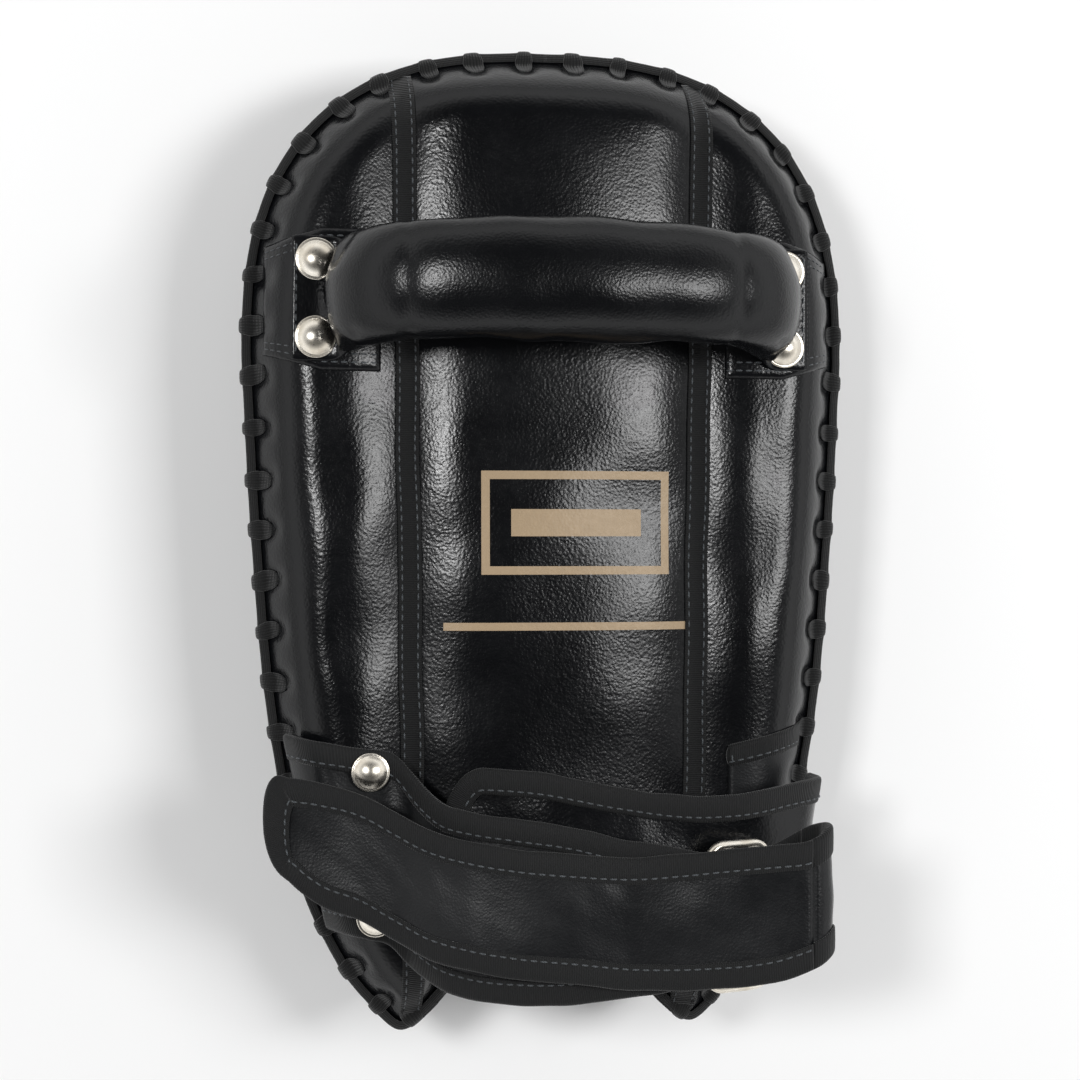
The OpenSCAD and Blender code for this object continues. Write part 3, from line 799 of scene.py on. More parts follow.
side_grid, centre_grid = ((250, 64), (100, 26)), ((230, 90), (92, 37))
panel_grids = [
    panel("left", lambda r, c: side_plan(-1, r, c), *side_grid),
    panel("centre", centre_plan, *centre_grid, printed_gloss),
    panel("right", lambda r, c: side_plan(1, r, c), *side_grid),
]


def make_ground():
    """A tree of the back's surface, for laying patches and tapes on it."""
    points, faces = joined([(g, grid_faces(*g.shape[:2])) for g in panel_grids])
    return BVHTree.FromPolygons(points.tolist(), [tuple(int(v) for v in f) for f in faces])


ground = make_ground()


def ground_height(x, y):
    """Height of the finished back at arrays of points."""
    heights = np.empty(np.size(x))
    for i, (a, b) in enumerate(zip(np.ravel(x), np.ravel(y))):
        hit = ground.ray_cast(Vector((a, b, back_top + 60)), Vector((0, 0, -1)))[0]
        heights[i] = hit.z if hit else np.nan
    heights = heights.reshape(np.shape(x))
    gaps = np.isnan(heights)
    if gaps.any():
        heights[gaps] = back_height(np.asarray(x)[gaps], np.asarray(y)[gaps])
    return heights


def draped(x, y, blur):
    """Points laid on the back, bridging its small dips."""
    height = ground_height(x, y)
    soft = averaged(height, blur, own=2)
    return np.stack([x, y, np.maximum(soft, height - 0.15)], -1)


def patch(name, x, y, thick, material, node=None, blur=6, uv=None):
    """A thin sheet laid on the back, its edges rounded over."""
    rows, columns = x.shape
    down = np.minimum(np.arange(rows), np.arange(rows)[::-1])[:, None]
    across = np.minimum(np.arange(columns), np.arange(columns)[::-1])[None]
    edge = np.minimum(down, across)
    crown = np.select([edge == 0, edge == 1], [0.45, 0.85], 1.0) * thick
    base = draped(x, y, blur)
    top = base + np.stack([0 * x, 0 * x, crown], -1)
    bottom = base - (0, 0, 0.9)
    fasten(solid_sheet(name, top, bottom, material, uv), "pad", node)
    return top


# ---- Stitches ---------------------------------------------------------------------------------

stitch_pitch = 4.0
stitch_length = 3.0
stitch_radius = 0.36


def stitch_row(line, ups):
    """Stitches along a line of points, lying on a surface whose normals are ups."""
    line, ups = np.asarray(line, float), np.asarray(ups, float)
    run = run_along(line)
    starts = np.arange(0.5, run[-1] - stitch_length, stitch_pitch)
    parts = []
    for start in starts:
        where = start + np.linspace(0, 1, 5) * stitch_length
        spine = looked_up(where, run, line)
        up = unit(looked_up(where, run, ups))
        side = np.cross(unit(spine[-1] - spine[0]), up)
        sink = np.array([-0.30, 0.06, 0.16, 0.06, -0.30])[:, None]
        width = np.array([0.35, 0.9, 1.0, 0.9, 0.35])[:, None, None] * stitch_radius
        angle = full_turn(6)
        rings = (spine + up * sink)[:, None] + width * (
            np.cos(angle)[None, :, None] * side[:, None] + np.sin(angle)[None, :, None] * up[:, None])
        parts.append(tube_points(rings))
    return joined(parts)


def stitches(name, rows, body):
    """One piece that holds several rows of stitches; each row is (points, normals)."""
    points, faces = joined([stitch_row(*row) for row in rows])
    fasten(make(name, points, faces, sewing), body)


def level_row(line):
    """A line of points with upward normals, for a row of stitches."""
    return line, np.tile((0.0, 0.0, 1.0), (len(line), 1))


def grid_row(grid, fixed_column=None, fixed_row=None, lift=0.12):
    """A row of stitches across a draped grid, just above it."""
    return level_row((grid[:, fixed_column] if fixed_row is None else grid[fixed_row])
                     + (0, 0, lift))


# ---- Rim: gusset, strike face, welt and lacing -------------------------------------------------

outline_samples = 360
shell_end = 22
sample_run = np.linspace(0, rim_length, outline_samples, endpoint=False)
sample_plan, sample_normal = rim_point(sample_run)


def scaled_ring(height, inset):
    """The outline drawn in by inset at a height, as the CAD shells are."""
    scale = np.array([1 - inset / half_width, 1 - inset / half_length])
    return np.column_stack([sample_plan * scale, np.full(outline_samples, float(height))])


def make_strike_face():
    """The leather tray on the far side, its edge rounded up to the gusset."""
    profile = [(0, 60), (0, 40), (0.0, 25), (0.5, 20.5), (2, 17), (4.2, 13.6), (7, 11), (10.4, 8.9),
               (14, 7.5), (18, 6.5), (21.4, 6.0), (21.8, 6.6)]
    rings = np.stack([scaled_ring(z, inset) for z, inset in profile])
    uneven = wobble(rings[..., 0] + rings[..., 2] * 2, rings[..., 1], 21, 45)
    rings[3:, :, :2] *= 1 + (0.0025 * uneven[3:, :, None])
    fasten(make("strike_cover", *tube_points(rings), gloss), "pad",
           "strike_face")


def make_gusset():
    """The side wall, drawn in at the lace holes and turned in under the back."""
    levels = np.concatenate([np.linspace(shell_end + 0.3, rim - 5, 22),
                             [rim - 3.6, rim - 2.6, rim - 2.1, rim - 1.9, rim - 1.4, rim - 0.6]])
    flare = np.concatenate([np.zeros(22), [0.4, 1.6, 3.4, 5.0, 5.2, 5.1]])
    rings = []
    pull = hole_pull(sample_run, 5.0)
    for z, out in zip(levels, flare):
        up = (z - shell_end) / (rim - shell_end)
        bulge = 2.2 * math.sin(math.pi * min(up * 1.02, 1)) ** 0.8
        crease = 1.5 * ease((up - 0.45) / 0.5) * (0.5 - pull) * (out < 1)
        folds = 0.5 * wobble(sample_run, z * 0.5, 31, 24) * math.sin(math.pi * min(up, 1))
        inset = 6 - bulge - out * 0.98 - crease - folds
        ring = scaled_ring(z, 0)
        ring[:, :2] += sample_normal * inset[:, None]
        rings.append(ring)
    rings = np.stack(rings)
    inner = rings[::-1].copy()
    inner[..., :2] += sample_normal * 1.8
    shell = np.concatenate([rings, inner[1:-1]])
    faces = grid_faces(len(shell), outline_samples, around=True, along=True)
    fasten(make("gusset", shell, faces, gloss), "pad", "side_gusset")


def make_lace_band():
    """The flat woven lace that runs along the edge."""
    samples = 720
    run = np.linspace(0, rim_length, samples, endpoint=False)
    plan, normal = rim_point(run)
    pull = hole_pull(run, 3.6)
    inset = 1.7 - 0.3 * pull
    height = rim + 2.1 + 0.4 * pull + 0.12 * wobble(run, 0, 41, 15)
    section = ring_section(1.9, 0.6, tilt=14)
    rings = np.stack([
        np.column_stack([plan + (inset + across)[:, None] * normal, height + up])
        for across, up in section], 1)
    faces = grid_faces(samples, len(section), around=True, along=True)
    along = np.repeat(run, len(section))
    turn = np.tile(np.arange(len(section)) * 1.0, samples)
    band = make("lace_band", rings, faces, lace_cloth, np.column_stack([along, turn]))
    fasten(band, "pad", "edge_lace")


def ring_section(half_across, half_up, tilt):
    """A rounded flat section: (across, up) pairs, tilted by an angle in degrees."""
    angle = full_turn(12)
    a = half_across * powered(np.cos(angle), 2.6)
    b = half_up * powered(np.sin(angle), 2.6)
    c, s = math.cos(math.radians(tilt)), math.sin(math.radians(tilt))
    return list(zip(a * c - b * s, a * s + b * c))


def make_lace_loops():
    """A loop of the lace over the edge at each hole."""
    route = smooth_line([
        (6.0, rim - 3.6, 0), (3.2, rim - 4.3, 0), (0.6, rim - 3.6, 0), (-0.6, rim - 1.2, 0),
        (-0.5, rim + 1.3, 0), (0.6, rim + 2.9, 0), (2.4, rim + 3.2, 0), (4.4, rim + 2.5, 0),
        (6.6, rim + 1.9, 0), (8.2, rim + 1.2, 0), (9.0, rim, 0)], 0.9)
    share = np.linspace(0, 1, len(route))
    spread = np.interp(share, [0, 0.4, 0.55, 0.7, 0.86, 0.94, 1],
                       [2.2, 2.5, 3.3, 4.1, 3.7, 2.6, 1.2])
    lean = unit(np.gradient(route[:, :2], axis=0))
    angle = full_turn(12)
    sway = np.random.default_rng(7)
    parts, uvs = [], []
    for k in range(round(rim_length / hole_pitch)):
        run = hole_start + k * hole_pitch + sway.uniform(-0.9, 0.9)
        stretch = sway.uniform(0.88, 1.06)
        wide = sway.uniform(0.86, 1.1)
        point, normal = rim_point(np.array([run]))
        tangent = np.array([normal[0, 1], -normal[0, 0]])
        skew = sway.uniform(-0.16, 0.16)
        rings = []
        for (inset, height, _), half, (d_inset, d_height), t in zip(route, spread, lean, share):
            flat = half * wide * powered(np.cos(angle), 2.8)
            thick = 0.6 * powered(np.sin(angle), 2.4)
            across = inset * stretch - thick * d_height
            plan = point + normal * across[:, None] + tangent * (flat + skew * inset)[:, None]
            level = np.full(len(angle), height)
            if inset > 1.5 and height > rim:
                skin = back_height(plan[:, 0], plan[:, 1])
                level = np.maximum(level, skin + 0.5) if t < 0.95 else skin - 0.7
            rings.append(np.column_stack([plan, level + thick * abs(d_inset)]))
        parts.append(tube_points(np.stack(rings)))
        uvs.append(tube_uv(np.arange(len(route)) * 0.9, spread.mean() * np.cos(angle)))
    points, faces = joined(parts)
    fasten(make("lace_loops", points, faces, lace_cloth, np.vstack(uvs)), "pad")


def make_welt():
    """Piping sewn between the strike face and the gusset."""
    radius = 1.5
    height = shell_end + 0.1 + 0.15 * wobble(sample_run, 0, 51, 30)
    angle = full_turn(10)
    rings = []
    for a in angle:
        ring = scaled_ring(0, 5.4 - radius * math.cos(a))
        ring[:, 2] = height + radius * math.sin(a)
        rings.append(ring)
    rings = np.stack(rings, 1)
    faces = grid_faces(outline_samples, len(angle), around=True, along=True)
    fasten(make("welt", rings, faces, satin), "pad")


make_strike_face()
make_gusset()
make_welt()
make_lace_band()
make_lace_loops()


# ---- Seam tapes -------------------------------------------------------------------------------

def make_tape(side, node):
    """Woven tape down a seam, with a row of stitches near each edge."""
    crown_y = np.interp(seam_x(190), rim_line[:270, 0], rim_line[:270, 1])
    y = np.linspace(crown_y - 2.6, -half_length + 7.5, 260)
    half = 4.75
    across = np.array([-half, -4.5, -3.2, -1.6, 0, 1.6, 3.2, 4.5, half])
    sway = 0.35 * wobble(y, 0, 60 + side, 60)
    x = side * seam_x(y)[:, None] + across[None] + sway[:, None]
    y = np.repeat(y[:, None], len(across), 1)
    uv = np.stack([-y, np.broadcast_to(across, y.shape)], -1)
    crown = 0.25 * (1 - (across / half) ** 2)
    height = ground_height(x, y)
    bridged = np.maximum(averaged(height, 4, own=2), height)
    height += (bridged - height) * ease((crown_y - 12 - y) / 12)
    under_lace = 0.5 * ease((y - crown_y + 7) / 3)
    top_side = np.stack([x, y, height + 0.75 + crown - under_lace], -1)
    top_side[:, [0, -1], 2] -= 0.35
    bottom = np.stack([x, y, height - 0.6], -1)
    piece = solid_sheet(node + "_cloth", top_side[::-1], bottom[::-1], tape_cloth, uv[::-1])
    fasten(piece, "pad", node)
    rows = [grid_row(top_side, fixed_column=c) for c in (2, 6)]
    stitches(node + "_stitches", rows, "pad")


for side, word in sides:
    make_tape(side, "seam_tape_" + word)


# ---- Handle -----------------------------------------------------------------------------------

grip_turn = math.radians(0.5)
grip_width, grip_depth = 47.0, 36.0
handle_low = handle_seat + 1
handle_high = back_top + 44.5
handle_shift, grip_lean = 1.0, 5.0
rivet_pitch = 31.0
handle_half = [
    (105.5, 0, 0, 0), (91, 0, 0, 0), (87.6, 0.03, 0, 0), (85.6, 0.11, 0.5, 0.94),
    (83.8, 0.24, 0.66, 0.96), (80, 0.42, 0.82, 0.98), (71, 0.66, 0.95, 1),
    (54, 0.86, 1, 1), (28, 0.97, 1, 1)
]


def turned(x, y):
    """Plan points turned with the handle about the middle of the grip."""
    c, s = math.cos(grip_turn), math.sin(grip_turn)
    return x * c + (y - grip_y) * s, grip_y - x * s + (y - grip_y) * c


def handle_z(rise):
    """Height of the handle's line at a share of its rise."""
    return handle_low + (handle_high - handle_low) * rise


def handle_station(station, side):
    """One station of the handle as (x, y, z, share of height, share of width)."""
    distance, rise, tall, wide = station
    return (side * distance + handle_shift * (rise > 0), grip_y + grip_lean * rise,
            handle_z(rise), tall, wide)


handle_line = ([handle_station(p, -1) for p in handle_half]
               + [(handle_shift, grip_y + grip_lean, handle_high, 1, 1)]
               + [handle_station(p, 1) for p in handle_half[::-1]])
grip_line = smooth_line([s for s in handle_line if s[3] > 0], 1.0)


def make_tab(side, name):
    """Leather patch under the handle's riveted end, with two rows of stitches near its upper edge and
    two near its lower edge.
    """
    a = np.linspace(71, 117.5, 44)[None]
    b = np.linspace(-28.5, 28.5, 52)[:, None]
    a, b = np.broadcast_arrays(a, b)
    inner = 1 - 0.010 * np.maximum(a - 95, 0)
    x, y = turned(side * a, grip_y + b * inner)
    if side < 0:
        x, y = x[:, ::-1], y[:, ::-1]
    top = patch(name + "_leather", x, y, 2.0, gloss, name)
    rows = [grid_row(top, fixed_row=r, lift=0.1) for r in (3, 6, -7, -4)]
    stitches(name + "_stitches", rows, "pad")


def strip_rings(line, profile):
    """Rings of a strip along (x, y, z, half) rows; profile is (share of half, offset, up)."""
    lean = lean_of(line)
    rings = []
    for share, offset, up in profile:
        across = share * line[:, 3] + offset
        rings.append(np.column_stack([
            line[:, 0] - lean[:, 1] * up, line[:, 1] + across, line[:, 2] + lean[:, 0] * up]))
    return np.stack(rings, 1)


def turn_points(points):
    """Points turned with the handle."""
    x, y = turned(points[..., 0], points[..., 1])
    return np.stack([x, y, points[..., 2]], -1)


def make_handle_end(side, name):
    """The flat, riveted end of the handle, which runs up into the grip."""
    end = 107.2 if side < 0 else 104.2
    stations = [(end, 0, 24.6), (end - 1.5, 0, 25), (97, 0, 25), (91.5, 0, 25),
                (88.0, 0.025, 24), (85.8, 0.09, 22.4), (84.0, 0.19, 20.5), (81.5, 0.30, 18),
                (79.5, 0.36, 15)]
    line = smooth_line([(side * d, grip_y + grip_lean * r * 0.5, handle_z(r), half)
                        for d, r, half in stations], 1.4)
    if side > 0:
        line = line[::-1]
    thick = 1.05
    edge = [(-1, 0, 0), (-1, 0.12, 0.6 * thick), (-1, 0.6, thick), (-1, 2.5, thick + 0.1),
            (-0.5, 0, thick + 0.2), (0, 0, thick + 0.1), (0.5, 0, thick + 0.2),
            (1, -2.5, thick + 0.1), (1, -0.6, thick), (1, -0.12, 0.6 * thick), (1, 0, 0),
            (1, -0.12, -0.6 * thick), (1, -0.6, -thick), (0, 0, -thick), (-1, 0.6, -thick),
            (-1, 0.12, -0.6 * thick)]
    points, faces = tube_points(turn_points(strip_rings(line, edge)))
    fasten(make(name, points, faces, gloss, flip=True), "pad")
    b = np.linspace(-22, 22, 30)
    x, y = turned(np.full(30, side * (end - 1.8)), grip_y + b)
    row = np.column_stack([x, y, np.full(30, handle_low + thick + 0.3)])
    stitches(name + "_stitches", [level_row(row)], "pad")


def grip_rings(line, around, swell=0.0):
    """Rings of the grip: flat-bottomed rounded sections along its arch."""
    lean = lean_of(line)
    angle = full_turn(around)
    tall = grip_depth / 2 * line[:, 3]
    wide = grip_width / 2 * line[:, 4]
    across = (wide + swell)[:, None] * powered(np.cos(angle), 2.25)[None]
    out = (tall + swell)[:, None] * powered(np.sin(angle), 2.15)[None]
    out = np.where(out < 0, out * 0.94, out)
    return np.stack([
        line[:, :1] - lean[:, 1:] * out, line[:, 1:2] + across, line[:, 2:3] + lean[:, :1] * out],
        -1)


def make_grip():
    """The padded grip: a stuffed leather tube, closed by a gathered end over the strap."""
    line = resample(grip_line, 1.8)
    around = 64
    rough = grip_rings(resample(line, 4.0), 28)
    held = np.zeros(rough.shape[:2])
    held[[0, 1, -2, -1]] = 1
    shift = simulate(rough, grid_faces(*rough.shape[:2], around=True), held,
                     pressure=1.6, growth=0.03, cap=2.4)
    shift = np.concatenate([shift, shift[:, :1]], 1)
    fine = grip_rings(line, around)
    fine += upsample(shift, len(line), around + 1)[:, :-1]
    outward = unit(fine - fine.mean(1, keepdims=True))
    turn = full_turn(around)[None]
    length = 230
    along = (np.linspace(0, 1, len(line)) * length)[:, None]
    near_end = np.minimum(along, length - along)
    gathers = 0.45 * np.sin(turn * 9 + 1.3) * np.exp(-near_end / 9)
    gathers += 0.25 * np.sin(turn * 5 + 0.4 + along * 0.02) * np.exp(-near_end / 26)
    dents = 0.35 * wobble(along, np.cos(turn) * 22, 71, 34) * ease(near_end / 25)
    folds = -0.5 * np.exp(-((along - 41 - 5 * np.sin(turn)) / 2.6) ** 2)
    folds += -0.45 * np.exp(-((along - 186 + 6 * np.sin(turn)) / 2.4) ** 2)
    fine += outward * (gathers + dents + folds * ease((np.sin(turn) + 0.6) / 1.2))[..., None]
    ends = []
    for index, direction in ((0, -1), (-1, 1)):
        ring = fine[index]
        centre = ring.mean(0)
        steps = [(0.95, 0.55), (0.84, 0.95), (0.62, 1.15), (0.34, 1.0)]
        ends.append([centre + (ring - centre) * share + (direction * out, 0, 0)
                     for share, out in steps])
    rings = np.concatenate([np.stack(ends[0][::-1]), fine, np.stack(ends[1])])
    piece = make("grip_leather", *tube_points(turn_points(rings)), grip_gloss)
    fasten(piece, "pad", "grip_cover")


def make_webbing():
    """Webbing inside the grip, from rivets to rivets."""
    line = smooth_line([(x, y, z, 13.0 if tall > 0 else 20.0)
                        for x, y, z, tall, _ in handle_line], 3.0)
    profile = [(-1, 0, -0.5), (-1, 0, 0.5), (-0.5, 0, 0.6), (0, 0, 0.6), (0.5, 0, 0.6),
               (1, 0, 0.5), (1, 0, -0.5), (0, 0, -0.6)]
    points, faces = tube_points(turn_points(strip_rings(line, profile)))
    uvs = tube_uv(np.arange(len(line)) * 3.0, [p[0] * 14 for p in profile])
    piece = make("grip_webbing", points, faces, webbing_cloth, uvs, flip=True)
    fasten(piece, "pad", "handle_strap")


# A cap from its middle outwards: share of its radius, share of its dome's height, height in mm.
cap_profile = [
    (0.0, 1.0, 0.75), (0.13, 0.98, 0.75), (0.27, 0.92, 0.75), (0.41, 0.81, 0.75),
    (0.54, 0.66, 0.75), (0.66, 0.47, 0.75), (0.76, 0.27, 0.75), (0.83, 0.1, 0.75),
    (0.87, 0.0, 0.8), (0.91, 0.0, 0.85), (0.955, 0.0, 0.82), (0.985, 0.0, 0.65),
    (1.0, 0.0, 0.4), (0.99, 0.0, 0.15), (0.96, 0.0, 0.0), (0.8, 0.0, -0.2)
]


def rivet_cap(place, seat, radius):
    """A domed cap with a thin rim, turned on a lathe."""
    turns = 56
    angle = full_turn(turns)
    dome = radius * cap_dome
    rings = np.stack([np.column_stack([
        place[0] + r * radius * np.cos(angle), place[1] + r * radius * np.sin(angle),
        np.full(turns, seat + z * dome + rise)]) for r, z, rise in cap_profile[1:]])
    faces = [tuple(f) for f in grid_faces(len(rings), turns, around=True)]
    points = np.vstack([rings.reshape(-1, 3), [[place[0], place[1], seat + dome + cap_profile[0][2]]]])
    top = len(points) - 1
    faces += [(j, top, (j + 1) % turns) for j in range(turns)]
    return points, [f[::-1] for f in faces]


def make_rivets(name, places, seat, radius, node):
    """The caps of one set of rivets."""
    points, faces = joined([rivet_cap(place, seat, radius) for place in places])
    fasten(make(name, points, faces, nickel), "pad", node)


def handle_rivet_places(side):
    """Where the two rivets sit at one end of the handle."""
    x = -97.5 if side < 0 else 94.5
    return [turned(x, grip_y + d * rivet_pitch) for d in (-0.5, 0.5)]


for side, word in sides:
    make_tab(side, "handle_tab_" + word)
for side, word in sides:
    make_handle_end(side, "handle_end_" + word)
make_webbing()
make_grip()
for side, word in sides:
    make_rivets("rivet_caps_" + word, handle_rivet_places(side), handle_top, grip_cap_radius,
                "handle_rivets_" + word)


# ---- Cuff -------------------------------------------------------------------------------------

strap_thick = 2.2
tongue_thick = 2.4
tape_thick = 0.8
binding_width = 10.0
narrow, broad = 25.0, 38.5
cuff_y, ring_y = -123.0, -149.5
fold_x, fold_z = 99.5, crest + 14.4
strap_level = back_top + 4.4
split_x = 91.0            # where the strap and the flap hand over to the fold piece

strap_stations = [
    (-99.8, cuff_y + 5, rim + 13.4, broad + 1, -0.22),
    (-97.2, cuff_y + 4.8, rim + 18.6, broad + 0.9, -0.22),
    (-93.6, cuff_y + 4.4, rim + 24.6, broad + 0.7, -0.22),
    (-88.8, cuff_y + 3.6, rim + 28.2, broad + 0.4, -0.215),
    (-82, cuff_y + 2.3, strap_level, broad, -0.14), (-66.5, cuff_y - 1.6, strap_level, broad, 0),
    (-60.5, cuff_y - 7.5, crest - 30, broad, 0), (-55, cuff_y - 13, crest - 24, broad - 1, 0),
    (-48, cuff_y - 18, crest - 16, broad - 2, 0), (-38, cuff_y - 20.5, crest - 9, broad - 2, 0),
    (-20, cuff_y - 22.5, crest - 3.5, broad - 2.5, 0), (0, cuff_y - 24, crest - 1, broad - 4, 0),
    (20, ring_y + 1, crest - 0.2, broad - 7.5, 0), (40, ring_y + 0.6, crest - 0.3, narrow + 3, 0),
    (52, ring_y + 0.9, crest - 0.4, narrow, 0), (68, ring_y + 1.2, crest + 1, narrow, 0),
    (79.5, ring_y + 3.5, crest + 2.5, narrow, 0), (88.5, ring_y + 8.5, crest + 4.5, narrow, 0),
    (94.6, ring_y + 12, crest + 7.2, narrow, 0), (98.4, ring_y + 13.3, crest + 10.8, narrow, 0),
    (fold_x, ring_y + 13.6, fold_z - 1.2, narrow, 0), (fold_x, ring_y + 13.6, fold_z, narrow, 0)
]
flap_stations = [
    (-118.3, -108.5, crest - 27, narrow - 9.5, 0),
    (-112, -112.2, crest - 26.6, narrow - 6.4, 0), (-104, -116.7, crest - 26, narrow - 3, 0),
    (-95, -120.6, crest - 25, narrow - 1, 0), (-81.5, -124.7, crest - 22.3, narrow - 0.3, 0),
    (-68, -131.8, crest - 17.5, narrow, 0),
    (-55, -138.5, crest - 10.6, narrow, 0), (-40, -142.5, crest - 3.2, narrow, 0),
    (-21, -145.5, crest + 2.4, narrow, 0), (0, -147.5, crest + 5.1, narrow, 0),
    (24, ring_y, crest + 6.4, narrow + 0.6, 0), (40, ring_y + 0.6, crest + 9.6, narrow + 1.2, 0),
    (55, ring_y + 2, crest + 13.9, narrow + 1.7, 0),
    (69, ring_y + 3.6, crest + 17.9, narrow + 1.7, 0),
    (80.4, ring_y + 5.4, crest + 20.4, narrow + 1, 0),
    (89.3, ring_y + 7.6, crest + 21.8, narrow, 0), (94.6, ring_y + 10, crest + 21.4, narrow, 0),
    (98.4, ring_y + 12.8, crest + 18.4, narrow, 0),
    (fold_x, ring_y + 13.6, fold_z + 1.2, narrow, 0), (fold_x, ring_y + 13.6, fold_z, narrow, 0)
]
tongue_stations = [
    (-49, -127, crest - 27, 35, 0), (-43, -126.5, crest - 25, 35, 0),
    (-32, -126, crest - 20.6, 35, 0), (-12, -128, crest - 13.6, 36, 0),
    (20, -134, crest - 8.6, 36, 0), (50, -138, crest - 7.8, 36, 0),
    (74, -137, crest - 9.6, 36, 0.04), (89, -134.5, back_top + 21.5, 36, 0.1),
    (98, -133.5, back_top + 14.5, 36, 0.15), (102.2, -133.2, back_top + 5, 36, 0.17),
    (101.2, -133, back_top - 4, 36, 0.17)
]


def clipped(rows, x, side):
    """The rows on one side of an x, with a row added just where the line crosses it."""
    beyond = (rows[:, 0] - x) * side >= 0
    crossings = []
    for i in np.nonzero(beyond[:-1] != beyond[1:])[0]:
        t = (x - rows[i, 0]) / (rows[i + 1, 0] - rows[i, 0])
        crossings.append(rows[i] + t * (rows[i + 1] - rows[i]))
    kept_rows = list(rows[beyond])
    if not beyond[0]:
        kept_rows.insert(0, crossings[0])
    if not beyond[-1]:
        kept_rows.append(crossings[-1])
    return np.array(kept_rows)


class Ribbon:
    """A strap's centre line and width; it maps (along, across, up) to a point."""

    def __init__(self, stations, low=None, high=None, spacing=2.0):
        rows = smooth_line(stations, spacing / 2)
        if low is not None:
            rows = clipped(rows, low, 1)
        if high is not None:
            rows = clipped(rows, high, -1)
        self.rows = resample(rows, spacing)
        self.run = run_along(self.rows[:, [0, 2]])
        self.length = self.run[-1]
        self.lean = lean_of(self.rows)

    def look_up(self, along, values):
        return np.interp(along, self.run, values)

    def half(self, along):
        return self.look_up(along, self.rows[:, 3])

    def calm(self, along, ends):
        """0 near the ends that meet another piece, 1 elsewhere; ends is two flags."""
        start = ease(along / 12) if ends[0] else 1.0
        stop = ease((self.length - along) / 12) if ends[1] else 1.0
        return start * stop

    def at(self, along, across, up):
        inside = np.clip(along, 0, self.length)
        spare = along - inside
        x, y, z, _, slant = (self.look_up(inside, c) for c in self.rows.T)
        tx, tz = (self.look_up(inside, c) for c in self.lean.T)
        return np.stack([x + slant * across - tz * up + tx * spare, y + across,
                         z + tx * up + tz * spare], -1)

    def normal(self, along):
        tx, tz = (self.look_up(along, c) for c in self.lean.T)
        return np.stack([-tz, 0 * tx, tx], -1)


tip_power = 2.3         # how square a strap's rounded tip is
edge_step = 1.6         # between the binding's sections
patch_inset, patch_thick = 8.2, 1.8     # the flat leathers under the cuff's two ends


def rounded_share(along, reach):
    """How much of its width a strap keeps near its rounded start."""
    t = np.clip(1 - along / reach, 0, 1)
    return (1 - t ** tip_power) ** (1 / tip_power)


def ribbon_sheet(name, ribbon, thick, material, body, reach=0.0, uneven=0.35, seed=1,
                 bounds=(0.0, None), half=None, up=0.0, columns=17, node=None,
                 calm=(False, False)):
    """The leather of a strap, from edge to edge, a little uneven."""
    start, stop = bounds[0], bounds[1] or ribbon.length
    along = np.linspace(start, stop, max(8, int((stop - start) / 2.2)))
    if reach:
        near = reach * (1 - np.cos(np.linspace(0.08, 1, 14) * math.pi / 2))
        along = np.concatenate([near, along[along > reach]])
    share = rounded_share(along, reach) if reach else np.ones(len(along))
    width = (ribbon.half(along) - 0.9 if half is None else np.full(len(along), half)) * share
    across = np.linspace(-1, 1, columns)[None] * width[:, None]
    along_grid = np.repeat(along[:, None], columns, 1)
    wave = uneven * wobble(along_grid, across, seed, 38) + uneven * 0.4 * wobble(
        along_grid, across, seed + 1, 15)
    base = np.array(up, float) + wave * ribbon.calm(along_grid, calm)
    top = ribbon.at(along_grid, across, base + thick / 2)
    bottom = ribbon.at(along_grid, across, base - thick / 2)
    uv = np.stack([along_grid, across], -1)
    fasten(solid_sheet(name, top, bottom, material, uv), body, node)


def edge_route(ribbon, reach):
    """The edge of a strap as (along, across, inward along, inward across) rows."""
    count = int(ribbon.length / edge_step)
    if reach:
        along = np.linspace(ribbon.length, reach, count)
        lower = np.column_stack([along, -ribbon.half(along)])
        angle = np.linspace(-90, 90, 44)[1:-1]
        c, s = np.cos(np.radians(angle)), np.sin(np.radians(angle))
        tip = np.column_stack([reach - reach * powered(c, tip_power),
                               ribbon.half(reach) * powered(s, tip_power)])
        upper = lower[::-1] * (1, -1)
        lines = [np.vstack([lower, tip, upper])]
    else:
        along = np.linspace(0, ribbon.length, count)
        lines = [np.column_stack([along, -ribbon.half(along)])[::-1],
                 np.column_stack([along, ribbon.half(along)])]
    routes = []
    for line in lines:
        line = resample(np.column_stack([line, np.zeros(len(line))]), edge_step)[:, :2]
        lean = unit(np.gradient(line, axis=0))
        routes.append(np.column_stack([line, lean[:, 1], -lean[:, 0]]))
    return routes


